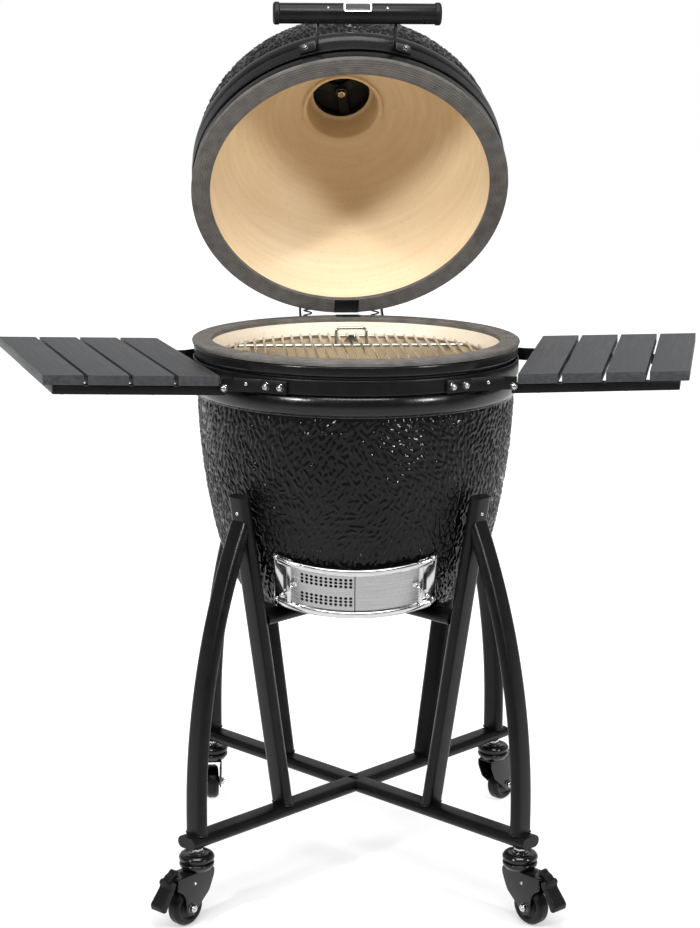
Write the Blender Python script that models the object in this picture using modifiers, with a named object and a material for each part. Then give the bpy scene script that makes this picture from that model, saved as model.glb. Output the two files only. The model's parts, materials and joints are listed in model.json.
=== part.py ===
"""Kamado ceramic grill on a four-leg rolling cart, with two folding side tables.

Metres, +Z up. The origin is on the floor, on the axis of the bowl; the front is -Y.
The lid stands open. The lid, its hinge, the steel bands and the tables sit on the bowl
turned a few degrees, the way clamped bands end up on a round pot.
"""

import math

import bmesh
import bpy
from mathutils import Matrix, Vector

# ---- driving dimensions (metres, degrees) ----
GAP = 0.0003                 # clearance between pieces that touch
SEGMENTS = 36                # facets round the big turned pieces

RIM_Z = 0.914                # height of the plane where the two gaskets meet
RING_R = 0.270               # outer radius of the gaskets
OPENING_R = 0.2386           # inner radius of bowl and lid at the rim
GASKET_T = 0.009
LIP_R = 0.268                # glazed edge behind each gasket
LIP_H = 0.0165
GROOVE_H = 0.0045            # bare groove between the glazed edge and the band
GROOVE_R = 0.2655            # seat of the steel bands
BAND_R = 0.2695              # outside of the steel bands
BAND_T = 0.0024
BAND_H = 0.025
BEAD_R = 0.2685              # glazed bead beyond each band
BEAD_H = 0.034
WALL_R = 0.2607              # body radius where the relief pattern starts
WALL_T = 0.029
BOWL_BASE_Z = 0.4853
BOWL_BASE_R = 0.168
LID_DOME_H = 0.193           # full height of the dome's ellipse above the bead
CHIMNEY_R = 0.051            # flue through the top of the lid
FLUE_MOUTH_R = 0.0645
NECK_R = 0.067               # short neck that carries the top vent
NECK_H = 0.018

ASSEMBLY_TURN = 4.0          # bands, hinge and lid, counter-clockwise seen from above
LID_OPEN = 57.0
HINGE_X = -0.004             # side play of the hinge
HINGE_Y = 0.2812
HINGE_Z = 0.8873

CART_TURN = 1.0
CART_X = 0.0036
TUBE_W = 0.040               # flat-oval tube of the cart
TUBE_T = 0.020
RAIL_Z = 0.145               # top of the cart's floor rails
RAIL_END_R = 0.3885
LEG_FOOT_R = 0.3675          # radius of the outer legs at the rails
LEG_BEND_R = 1.08
LEG_STRAIGHT_Z = 0.18        # the outer leg is straight below this height
POST_FOOT_R = 0.1755
POST_SLOPE = 0.1757          # outward run of the inner posts per metre of height
POST_TOP_Z = 0.683
CRADLE_Z = 0.485             # top of the cross that carries the bowl

CASTER_R = 0.3685            # swivel axes, from the cart's centre
CASTER_TRAIL = 0.027
WHEEL_R = 0.031
WHEEL_W = 0.024
RACE_R = 0.0293

TABLE_X = 0.0066             # both tables sit this far to the right
TABLE_TOP_Z = 0.8828
TABLE_RISE = 0.81            # the tables tip up this much towards their outer edges
TABLE_SKEW = 14.4            # angle of the fold axis from straight back
PIVOT_X = 0.2295             # front pivot of a table
PIVOT_Y = -0.200
PIVOT_Z = 0.8615
BRACKET_Z = 0.8685           # middle of the table brackets
SLAT_W = 0.0618
SLAT_GAP = 0.0059
SLAT_T = 0.016
SLAT_START = 0.0057          # first slat's edge, from the fold axis
SLAT_FRONT_Y = -0.2076
SLAT_BACK_Y = 0.2076

DRAFT_LOW_Z = 0.513          # air opening through the bowl's front wall
DRAFT_HIGH_Z = 0.562
DRAFT_HALF_W = 0.089
DOOR_Z = 0.4935              # lower edge of the steel door, at the front
DOOR_Y = -0.2045
DOOR_R = 0.2200              # curve of the door round its own leaning axis
DOOR_H = 0.0905
DOOR_LEAN = 20.8
DOOR_HALF_ANGLE = 36.0

BAR_PITCH = 0.0165
GRID_R = 0.228
GRID_Z = 0.886


# ---- scene, materials and helpers ----
def clear_scene():
    for old in list(bpy.data.objects):
        bpy.data.objects.remove(old, do_unlink=True)


def new_collection(name, hidden=False):
    made = bpy.data.collections.new(name)
    bpy.context.scene.collection.children.link(made)
    made.hide_render = hidden
    return made


def material(name, colour, roughness, metallic=0.0):
    made = bpy.data.materials.new(name)
    made.use_nodes = True
    shader = made.node_tree.nodes["Principled BSDF"]
    shader.inputs["Base Color"].default_value = (*colour, 1.0)
    shader.inputs["Roughness"].default_value = roughness
    shader.inputs["Metallic"].default_value = metallic
    made.diffuse_color = (*colour, 1.0)
    return made


clear_scene()
PARTS = new_collection("kamado_grill")
CUTTERS = new_collection("cutters", hidden=True)

GLAZE = material("black_glaze", (0.012, 0.012, 0.013), 0.25)
GREY_FELT = material("woven_gasket", (0.13, 0.11, 0.095), 0.9)
BLACK_STEEL = material("black_powder_coat", (0.018, 0.018, 0.019), 0.45, 0.3)
GLOSS_STEEL = material("black_gloss_steel", (0.01, 0.01, 0.01), 0.2, 0.5)
STAINLESS = material("stainless", (0.62, 0.61, 0.60), 0.28, 1.0)
CREAM = material("cream_ceramic", (0.82, 0.66, 0.45), 0.7)
CAST_IRON = material("cast_iron", (0.03, 0.03, 0.03), 0.6, 0.6)
SLAT_BLACK = material("black_slat", (0.03, 0.032, 0.034), 0.5)
RUBBER = material("wheel_black", (0.014, 0.014, 0.014), 0.35)


def link_object(name, mesh, surface, parent=None, collection=None):
    made = bpy.data.objects.new(name, mesh)
    (collection or PARTS).objects.link(made)
    if surface:
        mesh.materials.append(surface)
    made.parent = parent
    return made


def mesh_object(name, shape, surface, parent=None, collection=None):
    mesh = bpy.data.meshes.new(name)
    shape.to_mesh(mesh)
    shape.free()
    return link_object(name, mesh, surface, parent, collection)


def empty(name, matrix, parent=None):
    made = bpy.data.objects.new(name, None)
    PARTS.objects.link(made)
    made.parent = parent
    made.matrix_local = matrix
    return made


def turned(name, profile, surface, parent=None, segments=SEGMENTS, closed=True, collection=None):
    """Turn (radius, height) points round Z; the outer side runs top to bottom."""
    shape = bmesh.new()
    points = [shape.verts.new((radius, 0.0, height)) for radius, height in profile]
    for start, end in zip(points, points[1:]):
        shape.edges.new((start, end))
    if closed:
        shape.edges.new((points[-1], points[0]))
    made = mesh_object(name, shape, surface, parent, collection)
    screw = made.modifiers.new("turn", "SCREW")
    screw.angle = math.tau
    screw.steps = segments
    screw.render_steps = segments
    screw.use_merge_vertices = True
    screw.merge_threshold = 0.0001
    return made


def box(name, low, high, surface, parent=None, collection=None):
    shape = bmesh.new()
    bmesh.ops.create_cube(shape, size=1.0)
    size = Vector(high) - Vector(low)
    centre = (Vector(high) + Vector(low)) / 2
    bmesh.ops.scale(shape, vec=size, verts=shape.verts)
    bmesh.ops.translate(shape, vec=centre, verts=shape.verts)
    return mesh_object(name, shape, surface, parent, collection)


def add_bevel(target, width):
    rounding = target.modifiers.new("edges", "BEVEL")
    rounding.width = width
    rounding.segments = 1
    rounding.limit_method = "ANGLE"


def cylinder(name, radius, start, end, surface, parent=None, sides=16, collection=None):
    """A solid bar of the radius from one point to another."""
    axis = Vector(end) - Vector(start)
    shape = bmesh.new()
    bmesh.ops.create_cone(
        shape, cap_ends=True, segments=sides, radius1=radius, radius2=radius, depth=axis.length
    )
    facing = axis.to_track_quat("Z", "Y").to_matrix().to_4x4()
    middle = Matrix.Translation((Vector(start) + Vector(end)) / 2)
    bmesh.ops.transform(shape, matrix=middle @ facing, verts=shape.verts)
    return mesh_object(name, shape, surface, parent, collection)


def flat(name, outline, thickness, surface, parent=None, bevel=0.0, collection=None):
    """A plate: the outline in X and Y, the thickness centred on Z = 0."""
    curve = bpy.data.curves.new(name, "CURVE")
    curve.dimensions = "2D"
    curve.fill_mode = "BOTH"
    curve.extrude = thickness / 2
    if bevel:
        curve.extrude = thickness / 2 - bevel
        curve.bevel_depth = bevel
        curve.bevel_resolution = 1
        curve.offset = -bevel
    spline = curve.splines.new("POLY")
    spline.points.add(len(outline) - 1)
    for point, (x, y) in zip(spline.points, outline):
        point.co = (x, y, 0.0, 1.0)
    spline.use_cyclic_u = True
    made = bpy.data.objects.new(name, curve)
    curve.materials.append(surface)
    (collection or PARTS).objects.link(made)
    made.parent = parent
    return made


def as_mesh(source, collection=None):
    """Replace a curve object by the same shape as a welded mesh."""
    bpy.context.view_layer.update()
    evaluated = source.evaluated_get(bpy.context.evaluated_depsgraph_get())
    mesh = bpy.data.meshes.new_from_object(evaluated)
    shape = bmesh.new()
    shape.from_mesh(mesh)
    bmesh.ops.remove_doubles(shape, verts=shape.verts, dist=0.00001)
    bmesh.ops.recalc_face_normals(shape, faces=shape.faces)
    shape.to_mesh(mesh)
    shape.free()
    name = source.name
    source.name = name + "_curve"
    made = bpy.data.objects.new(name, mesh)
    (collection or PARTS).objects.link(made)
    made.parent = source.parent
    made.matrix_local = source.matrix_local
    bpy.data.objects.remove(source, do_unlink=True)
    return made


def join(target, piece, operation="UNION"):
    """Add a piece to a target, or cut it away, and keep it among the cutters."""
    change = target.modifiers.new(operation.lower(), "BOOLEAN")
    change.operation = operation
    change.object = piece
    change.solver = "EXACT"
    piece.hide_render = True
    piece.display_type = "WIRE"
    return target


def cut(target, piece):
    return join(target, piece, "DIFFERENCE")


def arc(radius, start, end, steps):
    """Points (radius, height) of an arc about the origin, from one angle to another."""
    angles = [start + (end - start) * step / steps for step in range(steps + 1)]
    return [(radius * math.cos(angle), radius * math.sin(angle)) for angle in angles]


def shade_round(angle=35.0):
    for made in PARTS.objects:
        if made.type == "MESH" and made.data.polygons:
            made.data.shade_smooth()
            made.data.set_sharp_from_angle(angle=math.radians(angle))


# ---- frames that the pieces hang on ----
def turn_z(degrees):
    return Matrix.Rotation(math.radians(degrees), 4, "Z")


BANDS = empty("band_turn", turn_z(ASSEMBLY_TURN))
HINGE_AXIS = Matrix.Translation((HINGE_X, HINGE_Y, HINGE_Z))
LID_PIVOT = empty(
    "lid_pivot", HINGE_AXIS @ Matrix.Rotation(math.radians(-LID_OPEN), 4, "X"), BANDS
)
LID = empty("lid_axis", Matrix.Translation((-HINGE_X, -HINGE_Y, -HINGE_Z)), LID_PIVOT)
DOOR_FRONT = Matrix.Translation((0, DOOR_Y, DOOR_Z)) @ Matrix.Rotation(math.radians(DOOR_LEAN), 4, "X")
DOOR = empty("draft_door", DOOR_FRONT @ Matrix.Translation((0, DOOR_R, 0)))
CART = empty("cart", Matrix.Translation((CART_X, 0, 0)) @ turn_z(CART_TURN))


# ---- bowl ----
def bowl_outer_radius(height):
    """Outside of the bowl below the bead: nearly straight, then rounding in to the base."""
    top = RIM_Z - GASKET_T - LIP_H - GROOVE_H - BAND_H - BEAD_H - 0.0035
    depth = (top - height) / (top - BOWL_BASE_Z)
    return BOWL_BASE_R + (WALL_R - BOWL_BASE_R) * (1.0 - depth ** 1.6) ** 0.5


def rim_profile(sign):
    """Outer side from the gasket seat to the wall, as offsets from the rim plane."""
    seat = GASKET_T + GAP
    lip = seat + LIP_H
    band = lip + GROOVE_H + BAND_H
    bead = [
        (BEAD_R - 0.009 + 0.009 * math.sin(angle), BEAD_H / 2 * (1 - math.cos(angle)))
        for angle in [math.pi * step / 5 for step in range(1, 5)]
    ]
    points = [(LIP_R, seat), (LIP_R, lip - 0.002), (GROOVE_R, lip), (GROOVE_R, band)]
    points += [(radius, band + rise) for radius, rise in bead]
    points += [(WALL_R, band + BEAD_H + 0.002)]
    return [(radius, RIM_Z + sign * rise) for radius, rise in points]


def make_bowl():
    outer = rim_profile(-1)
    start = outer[-1][1]
    steps = 9
    outer += [
        (bowl_outer_radius(height), height)
        for height in [
            start - (start - BOWL_BASE_Z) * (step / steps) ** 0.8 for step in range(1, steps + 1)
        ]
    ]
    inner = [(0.0, BOWL_BASE_Z + WALL_T), (BOWL_BASE_R - 0.018, BOWL_BASE_Z + WALL_T)]
    for height in (0.540, 0.600, 0.680, 0.780):
        inner.append((bowl_outer_radius(height) - WALL_T, height))
    inner += [(OPENING_R, RIM_Z - 0.06), (OPENING_R, RIM_Z - GASKET_T - GAP)]
    profile = outer + [(0.0, BOWL_BASE_Z)] + inner
    bowl = turned("bowl_shell", profile, GLAZE)
    join_draft_opening(bowl)
    turned("bowl_gasket", gasket_profile(RIM_Z - GASKET_T, RIM_Z), GREY_FELT, BANDS)
    return bowl


def join_draft_opening(bowl):
    window = box(
        "draft_cut", (-DRAFT_HALF_W, -0.27, DRAFT_LOW_Z), (DRAFT_HALF_W, -0.12, DRAFT_HIGH_Z),
        None, None, CUTTERS,
    )
    cut(bowl, window)


def gasket_profile(low, high):
    return [(RING_R, high), (RING_R, low), (OPENING_R, low), (OPENING_R, high)]


def band_profile(low):
    inner = BAND_R - BAND_T
    return [(BAND_R, low + BAND_H - 0.001), (BAND_R, low), (inner, low), (inner, low + BAND_H - 0.001)]


def make_band():
    low = RIM_Z - GASKET_T - GAP - LIP_H - GROOVE_H - BAND_H + 0.0005
    turned("bowl_band", band_profile(low), BLACK_STEEL, BANDS)


def make_insides():
    floor = BOWL_BASE_Z + WALL_T + GAP
    turned(
        "fire_box",
        [
            (0.192, 0.700), (0.176, 0.600), (0.146, floor), (0.0, floor),
            (0.0, floor + 0.018), (0.122, floor + 0.018), (0.128, 0.560), (0.140, 0.562),
            (0.152, 0.600), (0.168, 0.700),
        ],
        CREAM,
    )
    cut(
        bpy.data.objects["fire_box"],
        box("ash_gap_cut", (-0.055, -0.20, floor + 0.020), (0.055, -0.09, 0.552), None, None, CUTTERS),
    )
    turned(
        "charcoal_grate",
        [(0.137, 0.5745), (0.137, 0.5628), (0.030, 0.5628), (0.030, 0.5745)],
        CAST_IRON,
        segments=32,
    )
    slots = [
        box(f"slot_{index}", (-0.004, 0.055, 0.55), (0.004, 0.120, 0.59), None, None, CUTTERS)
        for index in range(8)
    ]
    for index, slot in enumerate(slots):
        slot.matrix_local = turn_z(360.0 * index / len(slots))
        cut(bpy.data.objects["charcoal_grate"], slot)
    turned(
        "fire_ring",
        [
            (0.226, 0.8797), (0.214, 0.790), (0.200, 0.7003), (0.172, 0.7003),
            (0.180, 0.790), (0.180, 0.830), (0.197, 0.830), (0.204, 0.8797),
        ],
        CREAM,
    )
    turned(
        "heat_deflector",
        [(0.0, 0.846), (0.1965, 0.846), (0.1962, 0.8303), (0.0, 0.8303)],
        CREAM,
        closed=False,
    )


def make_grid():
    """Bars on an outer ring, two cross rods and a fixed lifting loop, in one weldment."""
    rod = 0.003
    ring_z = GRID_Z - 0.004
    ring = [
        (0.222 + rod, ring_z + rod), (0.222 + rod, ring_z - 0.002),
        (0.222 - rod, ring_z - 0.002), (0.222 - rod, ring_z + rod),
    ]
    grid = turned("cooking_grid", ring, STAINLESS, BANDS)
    bars = bmesh.new()
    for index in range(-13, 14):
        x = index * BAR_PITCH
        reach = math.sqrt(GRID_R ** 2 - x ** 2) - 0.003
        made = bmesh.ops.create_cube(bars, size=1.0)["verts"]
        bmesh.ops.scale(bars, vec=(0.0036, 2 * reach, 0.0036), verts=made)
        bmesh.ops.translate(bars, vec=(x, 0, GRID_Z), verts=made)
    join(grid, mesh_object("grid_bars", bars, None, BANDS, CUTTERS))
    for index, y in enumerate((-0.110, 0.110)):
        reach = math.sqrt(0.222 ** 2 - y ** 2)
        low = (-reach, y - 0.002, ring_z - 0.0018)
        high = (reach, y + 0.002, ring_z + 0.0030)
        join(grid, box(f"grid_rod_{index}", low, high, None, BANDS, CUTTERS))
    loop = flat("grid_loop", loop_outline(), 0.004, STAINLESS, BANDS, collection=CUTTERS)
    loop.matrix_local = Matrix.Translation((0, 0.110, GRID_Z - 0.006)) @ Matrix.Rotation(
        math.pi / 2, 4, "X"
    )
    join(grid, as_mesh(loop, CUTTERS))


def loop_outline(half=0.0285, height=0.034, wire=0.0045):
    """An upturned U, outside then inside."""
    corner = 0.006
    outside = [(-half, 0), (-half, height - corner), (-half + corner, height)]
    outside += [(-x, y) for x, y in reversed(outside)]
    half -= wire
    height -= wire
    corner -= 0.002
    inside = [(half, 0), (half, height - corner), (half - corner, height)]
    inside += [(-x, y) for x, y in reversed(inside)]
    return outside + inside


# ---- draft door ----
def sector(radius, thickness, angles, steps):
    """Plan of a piece of a ring, between two angles measured from its front."""
    turns = [math.radians(angles[0] + (angles[1] - angles[0]) * step / steps) for step in range(steps + 1)]
    near = [(radius * math.sin(turn), -radius * math.cos(turn)) for turn in turns]
    far = [(x * (1 + thickness / radius), y * (1 + thickness / radius)) for x, y in near]
    return near + far[::-1]


def door_plate(name, inset, thickness, low, high, angles, surface, collection=None, steps=10):
    """A curved plate of the door; heights run along the leaning axis."""
    outline = sector(DOOR_R + inset, thickness, angles, steps)
    plate = flat(name, outline, high - low, surface, DOOR, collection=collection)
    plate.location = (0, 0, (low + high) / 2)
    return as_mesh(plate, collection)


def make_draft_door():
    """A frame of two rails and two end plates, with two plates that slide along it."""
    half = DOOR_HALF_ANGLE
    frame = door_plate("door_frame", 0.0, 0.0015, 0.0, DOOR_H, (-half, half), STAINLESS, steps=14)
    window = door_plate(
        "door_window", -0.005, 0.012, 0.011, DOOR_H - 0.013, (8.5 - half, half - 8.5), None, CUTTERS, 12
    )
    cut(frame, window)
    for name, low, high in (("lower", -0.003, 0.0075), ("upper", DOOR_H - 0.0105, DOOR_H)):
        rail = door_plate(
            f"door_rail_{name}", 0.0005, 0.0075, low, high, (3.5 - half, half - 3.5), None, CUTTERS, 14
        )
        join(frame, rail)
    for side, name in ((-1, "door_slider_perforated"), (1, "door_slider_plain")):
        angles = sorted((side * 0.2, side * (half - 9.0)))
        plate = door_plate(name, 0.0018, 0.0012, 0.008, DOOR_H - 0.011, angles, STAINLESS, steps=8)
        if side < 0:
            perforate(plate)
        add_knob(plate, name, side, math.radians(side * (half - 10.2)))


def add_knob(plate, name, side, angle):
    """A short stem with a ball at the outer end of a sliding plate."""
    out = Vector((math.sin(angle), -math.cos(angle), 0.0))
    foot = out * (DOOR_R + 0.0030) + Vector((0, 0, DOOR_H * 0.52))
    tip = foot + out * 0.020 + Vector((side * 0.010, 0, -0.010))
    join(plate, cylinder(f"{name}_stem", 0.002, foot, tip, None, DOOR, 8, CUTTERS))
    ball = bmesh.new()
    bmesh.ops.create_uvsphere(ball, u_segments=10, v_segments=6, radius=0.0045)
    bmesh.ops.translate(ball, vec=tip, verts=ball.verts)
    join(plate, mesh_object(f"{name}_ball", ball, None, DOOR, CUTTERS))


def perforate(plate):
    """Two fields of holes, three rows each."""
    holes = bmesh.new()
    pitch = 0.0066
    for column in range(11):
        angle = math.radians(-1.7 - column * 2.05)
        out = Vector((math.sin(angle), -math.cos(angle), 0.0))
        facing = out.to_track_quat("Z", "Y").to_matrix().to_4x4()
        for row in (-3.7, -2.7, -1.7, 1.7, 2.7, 3.7):
            centre = out * (DOOR_R + 0.0022) + Vector((0, 0, DOOR_H / 2 + row * pitch))
            made = bmesh.ops.create_cone(
                holes, cap_ends=True, segments=4, radius1=0.0025, radius2=0.0025, depth=0.006
            )["verts"]
            bmesh.ops.transform(holes, matrix=Matrix.Translation(centre) @ facing, verts=made)
    cut(plate, mesh_object("slider_holes", holes, None, DOOR, CUTTERS))


# ---- lid ----
def lid_outer_radius(height, base):
    rise = (height - base) / LID_DOME_H
    return WALL_R * math.sqrt(max(0.0, 1.0 - rise * rise))


def make_lid():
    outer = rim_profile(1)[::-1]
    base = outer[0][1]
    top = base + LID_DOME_H * 0.96
    steps = 8
    dome = [
        (lid_outer_radius(height, base), height)
        for height in [
            base + (top - base) * math.sin(math.pi / 2 * step / steps) for step in range(1, steps + 1)
        ]
    ][::-1]
    inner_height = 0.2555
    inside = []
    for step in range(8):
        rise = 0.978 * math.sin(math.pi / 2 * step / 7)
        radius = OPENING_R * (1.0 - rise ** 2.3) ** (1 / 2.3)
        inside.append((max(radius, FLUE_MOUTH_R), RIM_Z + inner_height * rise))
    inside[0] = (OPENING_R, RIM_Z + GASKET_T + GAP)
    top += NECK_H
    profile = [(CHIMNEY_R, top), (NECK_R, top)] + dome + outer + inside
    turned("lid_shell", profile, GLAZE, LID)
    turned("lid_gasket", gasket_profile(RIM_Z + GAP, RIM_Z + GASKET_T), GREY_FELT, LID)
    low = RIM_Z + GASKET_T + GAP + LIP_H + GROOVE_H + 0.0005
    turned("lid_band", band_profile(low), BLACK_STEEL, LID)
    make_top_vent(top)
    make_thermometer(base)
    return low + BAND_H / 2


def make_top_vent(top):
    """Cast collar with a three-spoke hub, and a cap with three ports that turns on it."""
    low = top + GAP
    collar = [(0.071, low + 0.016), (0.074, low + 0.004), (0.074, low), (0.049, low), (0.049, low + 0.016)]
    base = turned("vent_base", collar, CAST_IRON, LID, 24)
    hub = cylinder("vent_hub", 0.009, (0, 0, low), (0, 0, low + 0.0155), None, LID, 12, CUTTERS)
    for index in range(3):
        spoke = box(
            f"vent_spoke_{index}", (0.002, -0.005, low + 0.006), (0.052, 0.005, low + 0.012),
            None, LID, CUTTERS,
        )
        spoke.matrix_local = turn_z(120.0 * index + 80.0)
        join(base, spoke)
    join(base, hub)
    low += 0.016 + GAP
    cap = turned(
        "vent_cap",
        [
            (0.0, low + 0.030), (0.012, low + 0.030), (0.016, low + 0.018), (0.060, low + 0.014),
            (0.073, low + 0.006), (0.073, low), (0.0, low),
        ],
        CAST_IRON, LID, 24, False,
    )
    for index in range(3):
        port = cylinder(
            f"vent_port_{index}", 0.013, (0.036, 0, low - 0.01), (0.036, 0, low + 0.04),
            None, LID, 8, CUTTERS,
        )
        port.matrix_local = turn_z(120.0 * index + 20.0)
        cut(cap, port)


def make_thermometer(base):
    """Dial on the front of the dome; its stem goes through a bore in the lid."""
    height = base + 0.072
    slope = math.radians(32.0)
    out = Vector((0, -math.cos(slope), math.sin(slope)))
    surface = Vector((0, -lid_outer_radius(height, base), height))
    bore = cylinder(
        "probe_bore", 0.0055, surface - out * 0.06, surface + out * 0.02, None, LID, 12, CUTTERS
    )
    cut(bpy.data.objects["lid_shell"], bore)
    dial = cylinder(
        "thermometer", 0.029, surface + out * 0.0035, surface + out * 0.0155, STAINLESS, LID, 24
    )
    join(
        dial,
        cylinder("probe", 0.0045, surface - out * 0.075, surface + out * 0.006, None, LID, 8, CUTTERS),
    )


def bent_strip(points, thickness):
    """Outline of a strip that follows the points, half its thickness to each side."""
    sides = ([], [])
    for index, point in enumerate(points):
        here = Vector(point)
        before = (here - Vector(points[index - 1])).normalized() if index else None
        after = None
        if index + 1 < len(points):
            after = (Vector(points[index + 1]) - here).normalized()
        way = ((before or after) + (after or before)).normalized()
        normal = Vector((-way.y, way.x))
        stretch = 1.0 / max(0.5, normal.dot(Vector((-(after or before).y, (after or before).x))))
        for side, sign in zip(sides, (1, -1)):
            side.append(tuple(here + normal * sign * stretch * thickness / 2))
    return sides[0] + sides[1][::-1]


def tangent_point(degrees, radius):
    """A point on a circle, its angle measured from the front towards +X, and the tangent there."""
    angle = math.radians(degrees)
    point = Vector((radius * math.sin(angle), -radius * math.cos(angle)))
    return point, Vector((math.cos(angle), math.sin(angle)))


def mirrored(outline, side):
    return [(side * x, y) for x, y in outline][::side]


def make_handle(band_z):
    """A round grip on two bent plates that are bolted to the lid's band."""
    grip_y = -BAND_R - 0.0577
    grip_r = 0.0165
    half = 0.1357
    end = 0.009
    cap_r = 0.0182
    profile = [
        (0.0, half), (cap_r - 0.002, half), (cap_r, half - 0.002), (cap_r, half - end),
        (grip_r, half - end), (grip_r, -half + end), (cap_r, -half + end), (cap_r, -half + 0.002),
        (cap_r - 0.002, -half), (0.0, -half),
    ]
    grip = turned("handle_grip", profile, GLOSS_STEEL, LID, 20, False)
    grip.matrix_local = Matrix.Translation((0, grip_y, band_z)) @ Matrix.Rotation(math.pi / 2, 4, "Y")
    plate_t = 0.004
    arm_x = 0.0632
    foot, way = tangent_point(16.0, BAND_R + GAP + plate_t / 2 + 0.0006)
    start = foot + way * 0.016
    knee = foot - way * ((foot.x - arm_x) / way.x)
    for side, name in ((-1, "handle_arm_left"), (1, "handle_arm_right")):
        outline = bent_strip([start, knee, (arm_x, grip_y + grip_r + GAP)], plate_t)
        arm = flat(name, mirrored(outline, side), 0.022, GLOSS_STEEL, LID)
        arm.location = (0, 0, band_z)
    badge = box(
        "handle_badge", (-0.023, grip_y - grip_r - 0.0028, band_z - 0.008),
        (0.023, grip_y - grip_r - GAP, band_z + 0.008), STAINLESS, LID,
    )
    add_bevel(badge, 0.0012)


# ---- hinge ----
def make_hinge():
    """Lower bracket with the pin, upper bracket on the lid's band, and two lift springs."""
    cheek_x = 0.0805
    back = math.sqrt(BAND_R ** 2 - cheek_x ** 2)
    low_z = RIM_Z - GASKET_T - GAP - LIP_H - GROOVE_H - BAND_H
    lower = cylinder(
        "hinge_lower", 0.005, (-cheek_x, HINGE_Y, HINGE_Z), (cheek_x, HINGE_Y, HINGE_Z),
        BLACK_STEEL, BANDS, 12,
    )
    cheek = [
        (back + 0.003, low_z - 0.004), (HINGE_Y + 0.022, low_z - 0.056), (HINGE_Y + 0.032, low_z - 0.050),
        (HINGE_Y + 0.012, HINGE_Z + 0.002), (HINGE_Y + 0.004, HINGE_Z + 0.011),
        (HINGE_Y - 0.006, HINGE_Z + 0.010), (back + 0.003, low_z + BAND_H - 0.002),
    ]
    for side in (-1, 1):
        plate = flat(f"hinge_cheek_{side}", cheek, 0.005, BLACK_STEEL, BANDS, collection=CUTTERS)
        plate.matrix_local = side_frame(side * cheek_x)
        join(lower, as_mesh(plate, CUTTERS))
        foot = bent_strip(
            [(side * (cheek_x - 0.002), back + 0.0045), (side * (cheek_x + 0.024), back - 0.0045)], 0.003
        )
        pad = flat(f"hinge_foot_{side}", foot, 0.020, BLACK_STEEL, BANDS, collection=CUTTERS)
        pad.location = (0, 0, low_z + BAND_H / 2)
        join(lower, as_mesh(pad, CUTTERS))
    shelf = box(
        "hinge_shelf", (-cheek_x, HINGE_Y + 0.019, low_z - 0.056), (cheek_x, HINGE_Y + 0.030, low_z - 0.051),
        None, BANDS, CUTTERS,
    )
    join(lower, shelf)
    lower.location.x = HINGE_X
    for piece in CUTTERS.objects:
        if piece.name.startswith("hinge_"):
            piece.location.x += HINGE_X
    make_upper_bracket(cheek_x)
    make_springs(low_z)


def side_frame(x):
    """Puts a plate's X along +Y and its Y along +Z, at a distance to the side."""
    return Matrix(((0, 0, 1, x), (1, 0, 0, 0), (0, 1, 0, 0), (0, 0, 0, 1)))


def make_upper_bracket(cheek_x):
    """Two arms from the pin to the lid's band, tied by a bar behind the lid."""
    band_low = RIM_Z + GASKET_T + GAP + LIP_H + GROOVE_H
    arm_x = cheek_x - 0.0066
    back = math.sqrt(BAND_R ** 2 - arm_x ** 2)
    outline = [
        (HINGE_Y - 0.0125, HINGE_Z + 0.007), (HINGE_Y + 0.0075, HINGE_Z + 0.0075),
        (HINGE_Y + 0.011, HINGE_Z + 0.050), (HINGE_Y + 0.008, band_low + BAND_H),
        (back + 0.0028, band_low + BAND_H), (back + 0.0028, band_low - 0.003),
        (HINGE_Y - 0.004, band_low - 0.012), (HINGE_Y - 0.0095, HINGE_Z + 0.016),
    ]
    tie = box(
        "hinge_upper",
        (-arm_x, HINGE_Y - 0.0010, band_low + 0.004), (arm_x, HINGE_Y + 0.0030, band_low + BAND_H - 0.003),
        BLACK_STEEL, LID,
    )
    for side in (-1, 1):
        plate = flat(f"upper_arm_{side}", outline, 0.0035, BLACK_STEEL, LID, collection=CUTTERS)
        plate.matrix_local = side_frame(side * arm_x)
        join(tie, as_mesh(plate, CUTTERS))
    for piece in [tie] + [made for made in CUTTERS.objects if made.name.startswith("upper_arm")]:
        piece.location.x += HINGE_X


def make_springs(low_z):
    """Coil springs between the lower shelf and the lid's bracket, drawn with the lid open."""
    coil_r = 0.0072
    wire_r = 0.0013
    turns = 11
    sides = 7
    bottom = Vector((0, HINGE_Y + 0.0245, low_z - 0.0505))
    top = Vector((0, HINGE_Y + 0.0335, HINGE_Z + 0.038))
    axis = top - bottom
    facing = axis.to_track_quat("Z", "Y").to_matrix().to_4x4()
    for side, name in ((-1, "spring_left"), (1, "spring_right")):
        curve = bpy.data.curves.new(name, "CURVE")
        curve.dimensions = "3D"
        curve.bevel_depth = wire_r
        curve.bevel_resolution = 0
        curve.use_fill_caps = True
        spline = curve.splines.new("POLY")
        count = turns * sides
        spline.points.add(count)
        for index, point in enumerate(spline.points):
            angle = math.tau * index / sides
            rise = wire_r + (axis.length - 2 * wire_r) * index / count
            point.co = (coil_r * math.cos(angle), coil_r * math.sin(angle), rise, 1.0)
        curve.materials.append(BLACK_STEEL)
        made = bpy.data.objects.new(name, curve)
        PARTS.objects.link(made)
        made.parent = BANDS
        place = Matrix.Translation((HINGE_X + side * 0.0605, bottom.y, bottom.z))
        made.matrix_local = place @ facing


# ---- cart ----
def corner_frame(degrees):
    """Frame of one cart corner: X outward along the diagonal, Y up, Z across it."""
    upright = Matrix(((1, 0, 0, 0), (0, 0, -1, 0), (0, 1, 0, 0), (0, 0, 0, 1)))
    return turn_z(degrees) @ upright


CORNERS = (
    ("front_left", -135.0), ("front_right", -45.0), ("back_left", 135.0), ("back_right", 45.0)
)


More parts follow.
